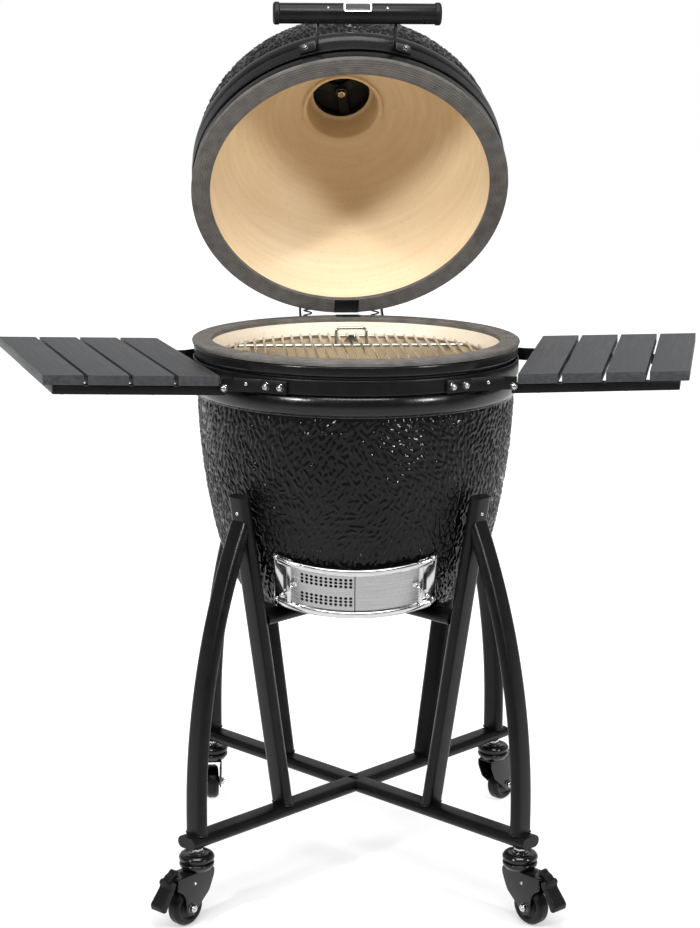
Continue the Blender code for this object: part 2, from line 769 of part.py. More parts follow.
def flat_tube(name, outline, surface, parent, degrees, collection=None):
    """A flat-oval tube: its side outline, given the oval's width and rounded edges."""
    tube = flat(name, outline, TUBE_W, surface, parent, bevel=TUBE_T * 0.42, collection=collection)
    tube.data.bevel_resolution = 1
    tube.matrix_local = corner_frame(degrees)
    return tube


def post_radius(height):
    return POST_FOOT_R + POST_SLOPE * (height - RAIL_Z)


def post_outline():
    half = TUBE_T / 2 * math.sqrt(1 + POST_SLOPE ** 2)
    low = RAIL_Z + GAP
    foot, top = post_radius(low), post_radius(POST_TOP_Z)
    return [(foot - half, low), (foot + half, low), (top + half, POST_TOP_Z), (top - half, POST_TOP_Z)]


def leg_outline():
    """Side view of the bent outer leg; its top is cut to lie along the inner post."""
    half = TUBE_T / 2
    centre = LEG_FOOT_R - LEG_BEND_R
    post_face = half * math.sqrt(1 + POST_SLOPE ** 2) + GAP
    low = RAIL_Z + GAP
    edges = []
    for offset in (half, -half):
        radius = LEG_BEND_R + offset
        height = LEG_STRAIGHT_Z
        while centre + math.sqrt(radius ** 2 - (height - LEG_STRAIGHT_Z) ** 2) > (
            post_radius(height) + post_face
        ):
            height += 0.0002
        top = math.asin((height - LEG_STRAIGHT_Z) / radius)
        steps = 9
        edge = [(LEG_FOOT_R + offset, low)]
        edge += [(centre + x, LEG_STRAIGHT_Z + y) for x, y in arc(radius, 0.0, top, steps)]
        edges.append(edge)
    return edges[0] + edges[1][::-1]


def make_cart():
    for name, degrees in CORNERS:
        flat_tube(f"post_{name}", post_outline(), BLACK_STEEL, CART, degrees)
        flat_tube(f"leg_{name}", leg_outline(), BLACK_STEEL, CART, degrees)
    rail = [
        (-0.060, RAIL_Z - TUBE_T), (RAIL_END_R, RAIL_Z - TUBE_T), (RAIL_END_R, RAIL_Z), (-0.060, RAIL_Z)
    ]
    for side, front, back in (("left", -135.0, 135.0), ("right", -45.0, 45.0)):
        arms = [
            as_mesh(flat_tube(f"rail_{side}", rail, BLACK_STEEL, CART, front)),
            as_mesh(flat_tube(f"rail_{side}_arm", rail, BLACK_STEEL, CART, back, CUTTERS), CUTTERS),
        ]
        join(arms[0], arms[1])
        far = 0.2 if side == "left" else -0.2
        near = -GAP if side == "left" else GAP
        half_space = box(
            f"mitre_{side}", (min(far, near), -0.2, 0.0), (max(far, near), 0.2, 0.3), None, CART, CUTTERS
        )
        cut(arms[0], half_space)
    make_cradle()


def make_cradle():
    """Two crossed tubes between the posts; the bowl stands on them."""
    low = CRADLE_Z - TUBE_T
    half = TUBE_T / 2 * math.sqrt(1 + POST_SLOPE ** 2)
    bottom = post_radius(low) - half - GAP
    top = post_radius(CRADLE_Z) - half - GAP
    outline = [(-bottom, low), (bottom, low), (top, CRADLE_Z), (-top, CRADLE_Z)]
    first = as_mesh(flat_tube("bowl_cradle", outline, BLACK_STEEL, CART, 45.0))
    second = as_mesh(flat_tube("cradle_arm", outline, BLACK_STEEL, CART, 135.0, CUTTERS), CUTTERS)
    join(first, second)


# ---- casters ----
CASTER_HEADINGS = {
    "front_left": -132.0, "front_right": -49.0, "back_left": 95.0, "back_right": 48.0
}


FORK_FRONT_X = 0.057


def fork_plate_outline():
    """Side plate in the swivel's plane: X along the trail, Y up."""
    eye = [
        (CASTER_TRAIL + x, WHEEL_R + y) for x, y in arc(0.0125, math.radians(-160), math.radians(20), 5)
    ]
    return [(-0.024, 0.0875), (-0.024, 0.076), (-0.012, 0.050)] + eye + [
        (0.041, 0.052), (0.047, 0.061), (FORK_FRONT_X, 0.067), (FORK_FRONT_X, 0.0875)
    ]


def make_caster(name, degrees):
    """Stem, ball races and pressed fork in one swivelling piece, with its wheel and brake."""
    place = Matrix.Translation(
        (CASTER_R * math.cos(math.radians(degrees)), CASTER_R * math.sin(math.radians(degrees)), 0)
    )
    heading = CASTER_HEADINGS[name]
    swivel = empty(f"swivel_{name}", place @ turn_z(heading), CART)
    stem_top = RAIL_Z - TUBE_T - GAP
    races = [
        (0.0, stem_top), (0.008, stem_top), (0.008, 0.1140), (0.024, 0.1132), (RACE_R, 0.1080),
        (0.0250, 0.1000), (0.0280, 0.0950), (0.0230, 0.0870), (0.0, 0.0860),
    ]
    fork = turned(f"caster_fork_{name}", races, GLOSS_STEEL, swivel, 18, False)
    inside = WHEEL_W / 2 + 0.0020
    plate_t = 0.0025
    for side in (-1, 1):
        plate = flat(f"fork_{name}_{side}", fork_plate_outline(), plate_t, GLOSS_STEEL, swivel, 0.0, CUTTERS)
        plate.matrix_local = Matrix(
            ((1, 0, 0, 0), (0, 0, -1, side * (inside + plate_t / 2)), (0, 1, 0, 0), (0, 0, 0, 1))
        )
        join(fork, as_mesh(plate, CUTTERS))
    crown = [(-0.0235, 0.085), (FORK_FRONT_X, 0.085), (FORK_FRONT_X, 0.0874), (-0.0235, 0.0874)]
    top = flat(f"fork_{name}_crown", crown, 2 * inside + 0.002, GLOSS_STEEL, swivel, 0.0, CUTTERS)
    top.matrix_local = Matrix(((1, 0, 0, 0), (0, 0, -1, 0), (0, 1, 0, 0), (0, 0, 0, 1)))
    join(fork, as_mesh(top, CUTTERS))
    make_wheel(name, swivel, inside)
    if name.startswith("front"):
        make_brake(name, swivel, inside)


def make_wheel(name, swivel, inside):
    half = WHEEL_W / 2
    hub = inside - GAP
    profile = [
        (0.0, hub), (0.0085, hub), (0.0105, half - 0.003), (0.0195, half - 0.003),
        (WHEEL_R - 0.003, half), (WHEEL_R, half - 0.005), (WHEEL_R, -half + 0.005),
        (WHEEL_R - 0.003, -half), (0.0195, -half + 0.003), (0.0105, -half + 0.003),
        (0.0085, -hub), (0.0, -hub),
    ]
    wheel = turned(f"caster_wheel_{name}", profile, RUBBER, swivel, 20, False)
    axle = Matrix.Translation((CASTER_TRAIL, 0, WHEEL_R))
    wheel.matrix_local = axle @ Matrix.Rotation(math.pi / 2, 4, "X")


def make_brake(name, swivel, inside):
    """Foot pedal at the fork's front: a tab over the top plate and a blade that hangs down."""
    pivot = Vector((0.0645, 0.078))
    shape = [
        (0.0490, 0.0905), (0.0480, 0.0985), (0.0525, 0.0990), (0.0570, 0.0945), (0.0640, 0.0925),
        (0.0700, 0.0860), (0.0700, 0.0740), (0.0910, 0.0500), (0.0890, 0.0405), (0.0815, 0.0390),
        (0.0725, 0.0560), (0.0655, 0.0680), (0.0595, 0.0760), (0.0595, 0.0885),
    ]
    shape = [(x - pivot.x, y - pivot.y) for x, y in shape][::-1]
    pedal = flat(f"brake_pedal_{name}", shape, 2 * inside - 0.001, RUBBER, swivel, 0.0008)
    pedal.matrix_local = Matrix(((1, 0, 0, pivot.x), (0, 0, -1, 0), (0, 1, 0, pivot.y), (0, 0, 0, 1)))


# ---- side tables ----
def table_frame(side):
    """Frame on the front pivot: X outward, Y back along the fold axis."""
    pivot = Matrix.Translation((side * PIVOT_X, PIVOT_Y, PIVOT_Z))
    skew = turn_z(-side * TABLE_SKEW)
    rise = Matrix.Rotation(-side * math.radians(TABLE_RISE), 4, "Y")
    return turn_z(ASSEMBLY_TURN) @ Matrix.Translation((TABLE_X, 0, 0)) @ pivot @ skew @ rise


def cross_line(start_y):
    """Where a line straight across the grill, at a given Y, crosses the fold axis."""
    return (start_y - PIVOT_Y) / math.cos(math.radians(TABLE_SKEW))


def make_table(side, name):
    slope = math.tan(math.radians(TABLE_SKEW))
    frame = empty(f"table_fold_{name}", table_frame(side))
    top = TABLE_TOP_Z - PIVOT_Z - 0.0004
    for index in range(4):
        near = SLAT_START + index * (SLAT_W + SLAT_GAP)
        far = near + SLAT_W
        outline = [
            (near, cross_line(SLAT_FRONT_Y) + near * slope), (far, cross_line(SLAT_FRONT_Y) + far * slope),
            (far, cross_line(SLAT_BACK_Y) + far * slope), (near, cross_line(SLAT_BACK_Y) + near * slope),
        ]
        slat = flat(f"slat_{name}_{index + 1}", mirrored(outline, side), SLAT_T, SLAT_BLACK, frame, 0.0015)
        slat.location = (0, 0, top - SLAT_T / 2)
    rail_h = 0.0148
    inner, outer = -0.004, 0.256
    tie_near = outer - 0.020
    front_low, front_high = cross_line(-0.2055), cross_line(-0.1855)
    back_low, back_high = cross_line(0.060), cross_line(0.080)
    outline = [
        (inner, front_low + inner * slope), (outer, front_low + outer * slope),
        (outer, back_high + outer * slope), (inner, back_high + inner * slope),
        (inner, back_low + inner * slope), (tie_near, back_low + tie_near * slope),
        (tie_near, front_high + tie_near * slope), (inner, front_high + inner * slope),
    ]
    rails = flat(f"table_frame_{name}", mirrored(outline, side), rail_h, BLACK_STEEL, frame)
    rails.location = (0, 0, top - SLAT_T - GAP - rail_h / 2)
    make_brackets(side, name)


def make_brackets(side, name):
    """Bent straps from the band to the two pivots of a table."""
    skew = math.radians(TABLE_SKEW)
    across = Vector((math.cos(skew), -math.sin(skew)))
    along = Vector((math.sin(skew), math.cos(skew)))
    pivot = Vector((PIVOT_X, PIVOT_Y))
    strap = 0.003
    shift = side * TABLE_X
    for place, degrees, tab in (("front", 32.0, -0.0086), ("back", 122.0, cross_line(0.080) + 0.0048)):
        seat, way = tangent_point(degrees, BAND_R + GAP + strap / 2 + 0.0009)
        if place == "back":
            way = -way
        reach = pivot + along * tab + Vector((shift, 0))
        points = [seat - way * 0.024, seat + way * 0.025, reach - across * 0.014, reach + across * 0.0045]
        bracket = flat(
            f"table_bracket_{name}_{place}", mirrored(bent_strip(points, strap), side), 0.021,
            BLACK_STEEL, BANDS,
        )
        bracket.location = (0, 0, BRACKET_Z)


make_bowl()
make_band()
make_insides()
make_grid()
make_draft_door()
make_handle(make_lid())
make_hinge()
make_cart()
for corner_name, corner_angle in CORNERS:
    make_caster(corner_name, corner_angle)
make_table(-1, "left")
make_table(1, "right")
shade_round()
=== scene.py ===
"""Looks of a kamado ceramic grill on a rolling cart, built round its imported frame.

Metres, +Z up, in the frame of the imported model: the origin is on the floor, on the
axis of the bowl, and the front is -Y. The lid stands open.
"""

import json
import math

import bmesh
import bpy
import numpy as np
from mathutils import Matrix, Vector

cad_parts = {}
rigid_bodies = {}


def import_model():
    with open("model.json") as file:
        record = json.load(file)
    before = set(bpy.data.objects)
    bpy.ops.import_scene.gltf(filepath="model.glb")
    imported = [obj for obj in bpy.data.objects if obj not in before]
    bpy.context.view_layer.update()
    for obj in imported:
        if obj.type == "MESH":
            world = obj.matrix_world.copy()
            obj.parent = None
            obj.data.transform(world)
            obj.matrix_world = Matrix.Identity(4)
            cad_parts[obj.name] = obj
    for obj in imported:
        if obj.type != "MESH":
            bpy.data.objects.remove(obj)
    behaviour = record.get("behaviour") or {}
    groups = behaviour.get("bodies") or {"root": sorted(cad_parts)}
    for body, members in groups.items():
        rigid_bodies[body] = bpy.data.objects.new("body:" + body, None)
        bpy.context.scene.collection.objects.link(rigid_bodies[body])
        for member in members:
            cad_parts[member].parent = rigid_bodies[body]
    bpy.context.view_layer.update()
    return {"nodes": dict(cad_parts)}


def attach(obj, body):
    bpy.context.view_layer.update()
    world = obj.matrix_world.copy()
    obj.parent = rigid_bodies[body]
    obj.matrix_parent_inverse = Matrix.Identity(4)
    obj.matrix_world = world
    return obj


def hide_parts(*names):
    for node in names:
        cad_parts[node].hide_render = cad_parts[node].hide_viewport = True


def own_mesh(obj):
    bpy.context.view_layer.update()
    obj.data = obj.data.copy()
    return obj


for old in list(bpy.data.objects):
    bpy.data.objects.remove(old, do_unlink=True)

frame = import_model()

BASE = "stand_and_bowl"

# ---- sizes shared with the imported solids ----
TOUCH = 0.0003               # gap between pieces that meet
RIM_Z = 0.914                # where the two gaskets meet with the lid shut
RING_R = 0.270
OPENING_R = 0.2386
GASKET_T = 0.009
LIP_R = 0.268
LIP_H = 0.0165
GROOVE_H = 0.0045
GROOVE_R = 0.2655
BAND_R = 0.2695
BAND_H = 0.025
BEAD_R = 0.2685
BEAD_H = 0.034
LID_BAND_Z = RIM_Z + GASKET_T + TOUCH + LIP_H + GROOVE_H
BOWL_BAND_Z = RIM_Z - GASKET_T - TOUCH - LIP_H - GROOVE_H - BAND_H
BRACKET_Z = 0.8685
WALL_R = 0.2607
WALL_T = 0.029
BOWL_BASE_Z = 0.4853
BOWL_BASE_R = 0.168
LID_DOME_H = 0.193
CHIMNEY_R = 0.051
FLUE_MOUTH_R = 0.0645
NECK_R = 0.067
NECK_H = 0.018
LID_OPEN = 57.0
SPOKE_TURN = 80.0            # the vent's spokes, with the cap's ports behind them
HINGE = Vector((-0.004, 0.2812, 0.8873))
TUBE_W = 0.040
TUBE_T = 0.020
RAIL_Z = 0.145
RAIL_END_R = 0.3885
LEG_FOOT_R = 0.3675
LEG_BEND_R = 1.08
LEG_STRAIGHT_Z = 0.18
POST_FOOT_R = 0.1755
POST_SLOPE = 0.1757
POST_TOP_Z = 0.683
CRADLE_Z = 0.485
CASTER_R = 0.3685
CASTER_TRAIL = 0.027
FORK_FRONT_X = 0.057
WHEEL_R = 0.031
WHEEL_W = 0.024
TABLE_X = 0.0066
TABLE_TOP_Z = 0.8828
TABLE_RISE = 0.81
TABLE_SKEW = 14.4
PIVOT = Vector((0.2295, -0.200, 0.8615))
SLAT_W = 0.0618
SLAT_GAP = 0.0059
SLAT_T = 0.016
SLAT_START = 0.0057
SLAT_HALF_LENGTH = 0.2076
DOOR_R = 0.2200
DOOR_H = 0.0905
DOOR_HALF_ANGLE = 36.0
BAR_PITCH = 0.0165
GRID_R = 0.228
GRID_Z = 0.886
CORNERS = {"front_left": -135.0, "front_right": -45.0, "back_left": 135.0, "back_right": 45.0}
HEADINGS = {"front_left": -132.0, "front_right": -49.0, "back_left": 95.0, "back_right": 48.0}
ROUND = 160                  # facets round the big turned pieces
STROKE_CELL = 0.0100         # one raised stroke of the glaze to a cell
STROKE_REACH = 0.0125        # no stroke gets further from its middle
STROKE_DEPTH = 0.0021
RELIEF_ROW = 0.0017
RELIEF_COLUMNS = 960


def turn(degrees, axis="Z"):
    return Matrix.Rotation(math.radians(degrees), 4, axis)


def shift(x, y, z):
    return Matrix.Translation((x, y, z))


WORLD = Matrix.Identity(4)
BANDS = turn(4.0)
LID = BANDS @ Matrix.Translation(HINGE) @ turn(-LID_OPEN, "X") @ Matrix.Translation(-HINGE)
DOOR = shift(0, -0.2045, 0.4935) @ turn(20.8, "X") @ shift(0, DOOR_R, 0)
CART = shift(0.0036, 0, 0) @ turn(1.0)
UPRIGHT = Matrix(((1, 0, 0, 0), (0, 0, -1, 0), (0, 1, 0, 0), (0, 0, 0, 1)))
SIDE_ON = Matrix(((0, 0, 1, 0), (1, 0, 0, 0), (0, 1, 0, 0), (0, 0, 0, 1)))


# ---- materials ----
class Surface:
    """A Principled material with a few shorthands for its nodes."""

    def __init__(self, name, colour, roughness, metallic=0.0, **sockets):
        self.made = bpy.data.materials.new(name)
        self.made.use_nodes = True
        self.nodes = self.made.node_tree.nodes
        self.links = self.made.node_tree.links
        self.shader = self.nodes["Principled BSDF"]
        self.set("Base Color", (*colour, 1.0))
        self.set("Roughness", roughness)
        self.set("Metallic", metallic)
        for socket, value in sockets.items():
            self.set(socket.replace("_", " "), value)
        self.height = None

    def set(self, socket, value):
        self.shader.inputs[socket].default_value = value

    def node(self, kind, inputs=(), **values):
        made = self.nodes.new(kind)
        for key, value in values.items():
            setattr(made, key, value)
        for key, value in dict(inputs).items():
            if hasattr(value, "is_output"):
                self.links.new(value, made.inputs[key])
            else:
                made.inputs[key].default_value = value
        return made

    def place(self, scale=(1, 1, 1), space="Object"):
        where = self.node("ShaderNodeTexCoord").outputs[space]
        return self.node("ShaderNodeMapping", {"Vector": where, "Scale": scale}).outputs["Vector"]

    def noise(self, scale, detail=2.0, stretch=(1, 1, 1), rough=0.5, space="Object"):
        made = self.node(
            "ShaderNodeTexNoise",
            {"Vector": self.place(stretch, space), "Scale": scale, "Detail": detail, "Roughness": rough},
        )
        return made.outputs["Fac"]

    def remap(self, value, low, high, start=0.3, end=0.7):
        made = self.node(
            "ShaderNodeMapRange",
            {"Value": value, "From Min": start, "From Max": end, "To Min": low, "To Max": high},
        )
        return made.outputs["Result"]

    def mix(self, factor, first, second):
        made = self.node("ShaderNodeMix", {"Factor": factor}, data_type="RGBA")
        for key, value in ((6, first), (7, second)):
            if hasattr(value, "is_output"):
                self.links.new(value, made.inputs[key])
            else:
                made.inputs[key].default_value = (*value, 1.0)
        return made.outputs[2]

    def math(self, operation, first, second=0.0):
        made = self.nodes.new("ShaderNodeMath")
        made.operation = operation
        for index, value in enumerate((first, second)):
            if hasattr(value, "is_output"):
                self.links.new(value, made.inputs[index])
            else:
                made.inputs[index].default_value = value
        return made.outputs["Value"]

    def drive(self, socket, value):
        self.links.new(value, self.shader.inputs[socket])
        return self

    def bump(self, value, distance, strength=1.0):
        inputs = {"Height": value, "Distance": distance, "Strength": strength}
        if self.height:
            inputs["Normal"] = self.height
        self.height = self.node("ShaderNodeBump", inputs).outputs["Normal"]
        self.drive("Normal", self.height)
        return self


def glaze():
    look = Surface("glaze_black", (0.004, 0.004, 0.0043), 0.15, Specular_IOR_Level=0.22)
    cloud = look.noise(9.0, 4.0)
    cloud = look.remap(cloud, 0, 1)
    look.drive("Base Color", look.mix(cloud, (0.0028, 0.0028, 0.0030), (0.0060, 0.0060, 0.0065)))
    look.drive("Roughness", look.remap(look.noise(70.0, 3.0), 0.10, 0.20))
    look.bump(look.noise(420.0, 2.0), 0.0003, 0.15)
    look.bump(look.noise(90.0, 2.0), 0.0010, 0.22)
    return look.made


def glaze_rim():
    look = Surface("glaze_black_smooth", (0.004, 0.004, 0.0045), 0.22, Specular_IOR_Level=0.42)
    look.drive("Roughness", look.remap(look.noise(45.0, 4.0), 0.18, 0.28))
    cloud = look.remap(look.noise(14.0, 3.0), 0, 1)
    look.drive("Base Color", look.mix(cloud, (0.003,) * 3, (0.0058, 0.0058, 0.0062)))
    look.bump(look.noise(260.0, 2.0), 0.0004, 0.3)
    look.bump(look.noise(30.0, 2.0), 0.0014, 0.25)
    return look.made


def cream(name, low, high, ring_tone):
    look = Surface(name, low, 0.72)
    broad = look.remap(look.noise(5.0, 3.0), 0, 1)
    base = look.mix(broad, low, high)
    specks = look.remap(look.noise(240.0, 2.0), 0.0, 0.5, 0.62, 0.80)
    rings = look.remap(look.noise(26.0, 4.0, (0.12, 3.0, 1.0), space="UV"), 0.0, 0.55)
    base = look.mix(rings, base, ring_tone)
    look.drive("Base Color", look.mix(specks, base, (0.52, 0.33, 0.16)))
    look.drive("Roughness", look.remap(look.noise(60.0, 3.0), 0.6, 0.82))
    look.bump(look.noise(500.0, 3.0), 0.0005, 0.35)
    look.bump(look.noise(38.0, 2.0, (0.3, 4, 1), space="UV"), 0.0010, 0.3)
    return look.made


def ring_felt():
    """Braided mesh: ribs along the ring crossed by short slanted threads, from metre UVs. Its colour follows
    the weave's height: the hollows between threads are painted near black as shade.
    """
    look = Surface("gasket_weave", (0.15, 0.125, 0.105), 0.85)
    where = look.place((1, 1, 1), "UV")
    split = look.node("ShaderNodeSeparateXYZ", {"Vector": where})
    along, across = split.outputs["X"], split.outputs["Y"]
    ribs = look.math("SINE", look.math("MULTIPLY", across, math.tau / 0.0023))
    cross = look.math("SINE", look.math("ADD", look.math("MULTIPLY", along, math.tau / 0.0026),
                                        look.math("MULTIPLY", ribs, 1.6)))
    weave = look.math("ADD", look.math("MULTIPLY", ribs, 0.6), look.math("MULTIPLY", cross, 0.4))
    # Painted shade: near black in the weave's hollows, the threads' own tone on the crests.
    weave_shade = look.remap(weave, 0, 1, -0.9, 0.9)
    mottle = look.remap(look.noise(50.0, 4.0), 0, 1)
    dark = look.mix(mottle, (0.010, 0.009, 0.0085), (0.024, 0.021, 0.019))
    light = look.mix(mottle, (0.16, 0.145, 0.13), (0.27, 0.25, 0.23))
    look.drive("Base Color", look.mix(weave_shade, dark, light))
    look.drive("Roughness", look.remap(look.noise(200.0, 2.0), 0.62, 0.9))
    look.bump(weave, 0.0006, 0.8)
    look.bump(look.noise(700.0, 2.0), 0.0003, 0.4)
    return look.made


def coated(name, colour, low, high, grain=900.0, depth=0.00025, coat=0.0):
    """Powder coat or paint: a fine orange peel, with slightly uneven gloss."""
    look = Surface(name, colour, low, 0.0, Coat_Weight=coat, Coat_Roughness=0.12, Specular_IOR_Level=0.20)
    light = tuple(value * 1.6 + 0.0008 for value in colour)
    look.drive("Base Color", look.mix(look.remap(look.noise(18.0, 4.0), 0, 1), colour, light))
    look.drive("Roughness", look.remap(look.noise(55.0, 4.0), low, high))
    look.bump(look.noise(grain, 2.0), depth, 0.5)
    return look.made


def steel(name, colour, low, high, stretch, scale=300.0, depth=0.00006, turned=0.0):
    """Bare metal with drawn lines along the unstretched axis."""
    look = Surface(name, colour, low, 1.0, Anisotropic=turned)
    lines = look.noise(scale, 3.0, stretch)
    look.drive("Roughness", look.remap(lines, low, high))
    dark = tuple(value * 0.82 for value in colour)
    look.drive("Base Color", look.mix(look.remap(look.noise(scale / 2, 4.0, stretch), 0, 1), dark, colour))
    look.bump(lines, depth, 0.5)
    return look.made


def slat_skin():
    """Moulded composite boards: dark grey, long faint grain, dry sheen."""
    look = Surface("slat_composite", (0.022, 0.024, 0.026), 0.5, Specular_IOR_Level=0.45)
    grain = look.noise(160.0, 4.0, (1, 0.06, 1))
    cloud = look.noise(12.0, 3.0)
    base = look.mix(look.remap(grain, 0, 1), (0.020, 0.021, 0.023), (0.040, 0.042, 0.046))
    look.drive("Base Color", look.mix(look.remap(cloud, 0, 0.5), base, (0.030, 0.032, 0.035)))
    look.drive("Roughness", look.remap(grain, 0.40, 0.55))
    look.bump(grain, 0.0003, 0.35)
    look.bump(look.noise(1100.0, 2.0), 0.0002, 0.4)
    return look.made


GLAZE = glaze()
RIM_GLAZE = glaze_rim()
CREAM = cream("ceramic_cream", (0.82, 0.645, 0.41), (0.88, 0.72, 0.51), (0.72, 0.54, 0.31))
# A darker copy of the cream, painted shade for the fire parts that sit low in the bowl.
SHADED_CREAM = cream("ceramic_cream_painted_shade", (0.42, 0.33, 0.20), (0.52, 0.42, 0.27), (0.36, 0.27, 0.16))
# A lighter copy of the cream for the bowl's inside: painted light, for the light that falls into the bowl.
LIT_CREAM = cream("ceramic_cream_painted_light", (0.90, 0.79, 0.64), (0.94, 0.85, 0.73), (0.84, 0.70, 0.52))
WEAVE = ring_felt()
POWDER = coated("powder_black", (0.0030, 0.0030, 0.0034), 0.27, 0.38)
BAND_BLACK = coated("band_black", (0.0032, 0.0032, 0.0035), 0.28, 0.38, 700.0, 0.0003)
GLOSS = coated("gloss_black", (0.004, 0.004, 0.0043), 0.10, 0.20, 500.0, 0.00015, 0.4)
RUBBER = coated("tyre_black", (0.005, 0.005, 0.005), 0.24, 0.40, 600.0, 0.0002)
CAP_PLASTIC = coated("cap_plastic", (0.005, 0.005, 0.0055), 0.32, 0.46, 1200.0, 0.0002)
CAST = coated("cast_black", (0.012, 0.012, 0.012), 0.42, 0.62, 320.0, 0.0009)
POLISHED = steel("steel_polished", (0.70, 0.70, 0.70), 0.07, 0.15, (1, 1, 1), 120.0, 0.00004)
BRUSHED = steel("steel_brushed", (0.46, 0.46, 0.46), 0.20, 0.32, (0.04, 0.04, 1), 900.0, 0.00005, 0.4)
GRID_STEEL = steel("steel_bars", (0.52, 0.51, 0.48), 0.14, 0.26, (1, 0.1, 1), 400.0, 0.00005)
ZINC = steel("zinc_bolt", (0.66, 0.66, 0.65), 0.16, 0.30, (1, 1, 1), 500.0, 0.00006)
BRASS = steel("brass_screw", (0.72, 0.56, 0.30), 0.16, 0.28, (1, 1, 1), 500.0, 0.00006)
SLAT = slat_skin()
DIAL = coated("dial_white", (0.26, 0.26, 0.25), 0.45, 0.6)
NEEDLE = coated("needle_red", (0.45, 0.02, 0.015), 0.35, 0.5)
HANDLE = coated("handle_black", (0.0042, 0.0044, 0.0050), 0.24, 0.30, 700.0, 0.0001)


# ---- mesh helpers ----
def piece(name, mesh, surface, body, matrix=WORLD, stands_for=(), slot=None, smooth=35.0):
    """A finished mesh becomes a named piece on a body; the lid's are given upright axes, for true boxes."""
    made = bpy.data.objects.new(name, mesh)
    bpy.context.scene.collection.objects.link(made)
    if body in ("lid", "vent_cap_body"):
        mesh.transform(matrix)
    else:
        made.matrix_world = matrix
    if not mesh.materials:
        mesh.materials.append(surface)
    mesh.shade_smooth()
    mesh.set_sharp_from_angle(angle=math.radians(smooth))
    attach(made, body)
    if stands_for:
        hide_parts(*stands_for)
    return made


def mesh_of(name, shape):
    bmesh.ops.recalc_face_normals(shape, faces=shape.faces)
    mesh = bpy.data.meshes.new(name)
    shape.to_mesh(mesh)
    shape.free()
    return mesh


def rounded(points, radius, steps=4, closed=False):
    """The polyline with its corners rounded off."""
    points = [Vector(point) for point in points]
    made = []
    count = len(points)
    for index, point in enumerate(points):
        if not closed and index in (0, count - 1):
            made.append(point.copy())
            continue
        before = points[index - 1] - point
        after = points[(index + 1) % count] - point
        reach = min(radius, before.length * 0.48, after.length * 0.48)
        start = point + before.normalized() * reach
        end = point + after.normalized() * reach
        for step in range(steps + 1):
            t = step / steps
            made.append(start * (1 - t) ** 2 + point * 2 * t * (1 - t) + end * t ** 2)
    return made


def wrapped_mesh(name, co):
    """A closed sheet of quads from points in columns round Z and rows across."""
    columns, rows = co.shape[:2]
    column = np.arange(columns)[:, None]
    row = np.arange(rows - 1)[None, :]
    after = (column + 1) % columns
    faces = np.stack(
        [column * rows + row, after * rows + row, after * rows + row + 1, column * rows + row + 1], -1
    ).reshape(-1, 4)
    mesh = bpy.data.meshes.new(name)
    mesh.from_pydata(co.reshape(-1, 3).tolist(), [], faces.tolist())
    return mesh


def turned_mesh(name, profile, segments=ROUND):
    """Turn (radius, height) points round Z, with UVs in metres along and across."""
    angles = np.linspace(0.0, math.tau, segments, endpoint=False)
    rows = len(profile)
    radius = np.array([point[0] for point in profile])
    height = np.array([point[1] for point in profile])
    co = np.empty((segments, rows, 3))
    co[:, :, 0] = np.cos(angles)[:, None] * radius
    co[:, :, 1] = np.sin(angles)[:, None] * radius
    co[:, :, 2] = height
    mesh = wrapped_mesh(name, co)
    length = np.concatenate([[0.0], np.cumsum(np.hypot(np.diff(radius), np.diff(height)))])
    along = (np.arange(segments)[:, None] + np.array([0, 1, 1, 0])[None, :]) * math.tau / segments
    u = np.repeat(along[:, None, :] * radius.max(), rows - 1, axis=1)
    v = np.broadcast_to(np.stack([length[:-1], length[:-1], length[1:], length[1:]], -1)[None], u.shape)
    layer = mesh.uv_layers.new(name="metres")
    layer.data.foreach_set("uv", np.stack([u, v], -1).reshape(-1).astype(np.float32))
    shape = bmesh.new()
    shape.from_mesh(mesh)
    bmesh.ops.remove_doubles(shape, verts=shape.verts, dist=1e-6)
    bmesh.ops.dissolve_degenerate(shape, edges=shape.edges, dist=1e-7)
    bmesh.ops.recalc_face_normals(shape, faces=shape.faces)
    shape.to_mesh(mesh)
    shape.free()
    return mesh


def turned(name, profile, surface, body, matrix=WORLD, segments=ROUND, smooth=35.0, **facts):
    return piece(name, turned_mesh(name, profile, segments), surface, body, matrix, smooth=smooth, **facts)


def ring(profile, radius, steps=3):
    """A closed profile with rounded corners."""
    points = rounded(profile, radius, steps, closed=True)
    return points + [points[0]]


def tube(name, points, radius, surface, body, matrix=WORLD, sides=12, cyclic=False, **facts):
    """A round bar that follows the points, as a mesh."""
    shape = bmesh.new()
    add_tube(shape, points, radius, sides, cyclic)
    return piece(name, mesh_of(name, shape), surface, body, matrix, **facts)


def add_tube(shape, points, radius, sides=12, cyclic=False):
    """A round bar along the points, added to a shape."""
    points = [Vector(point) for point in points]
    count = len(points)
    loops = []
    normal = None
    for index, point in enumerate(points):
        before = points[index - 1] if index or cyclic else None
        after = points[(index + 1) % count] if index + 1 < count or cyclic else None
        way = ((after or point) - (before or point)).normalized()
        if normal is None:
            normal = way.orthogonal().normalized()
            if abs(way.z) < 0.9:
                normal = Vector((0, 0, 1)) - way * way.z
                normal.normalize()
        normal = (normal - way * normal.dot(way)).normalized()
        side = way.cross(normal)
        loops.append([
            shape.verts.new(point + (normal * math.cos(a) + side * math.sin(a)) * radius)
            for a in [math.tau * step / sides for step in range(sides)]
        ])
    spans = range(count if cyclic else count - 1)
    for index in spans:
        first, second = loops[index], loops[(index + 1) % count]
        for step in range(sides):
            follow = (step + 1) % sides
            shape.faces.new((first[step], first[follow], second[follow], second[step]))
    if not cyclic:
        shape.faces.new(loops[0][::-1])
        shape.faces.new(loops[-1])


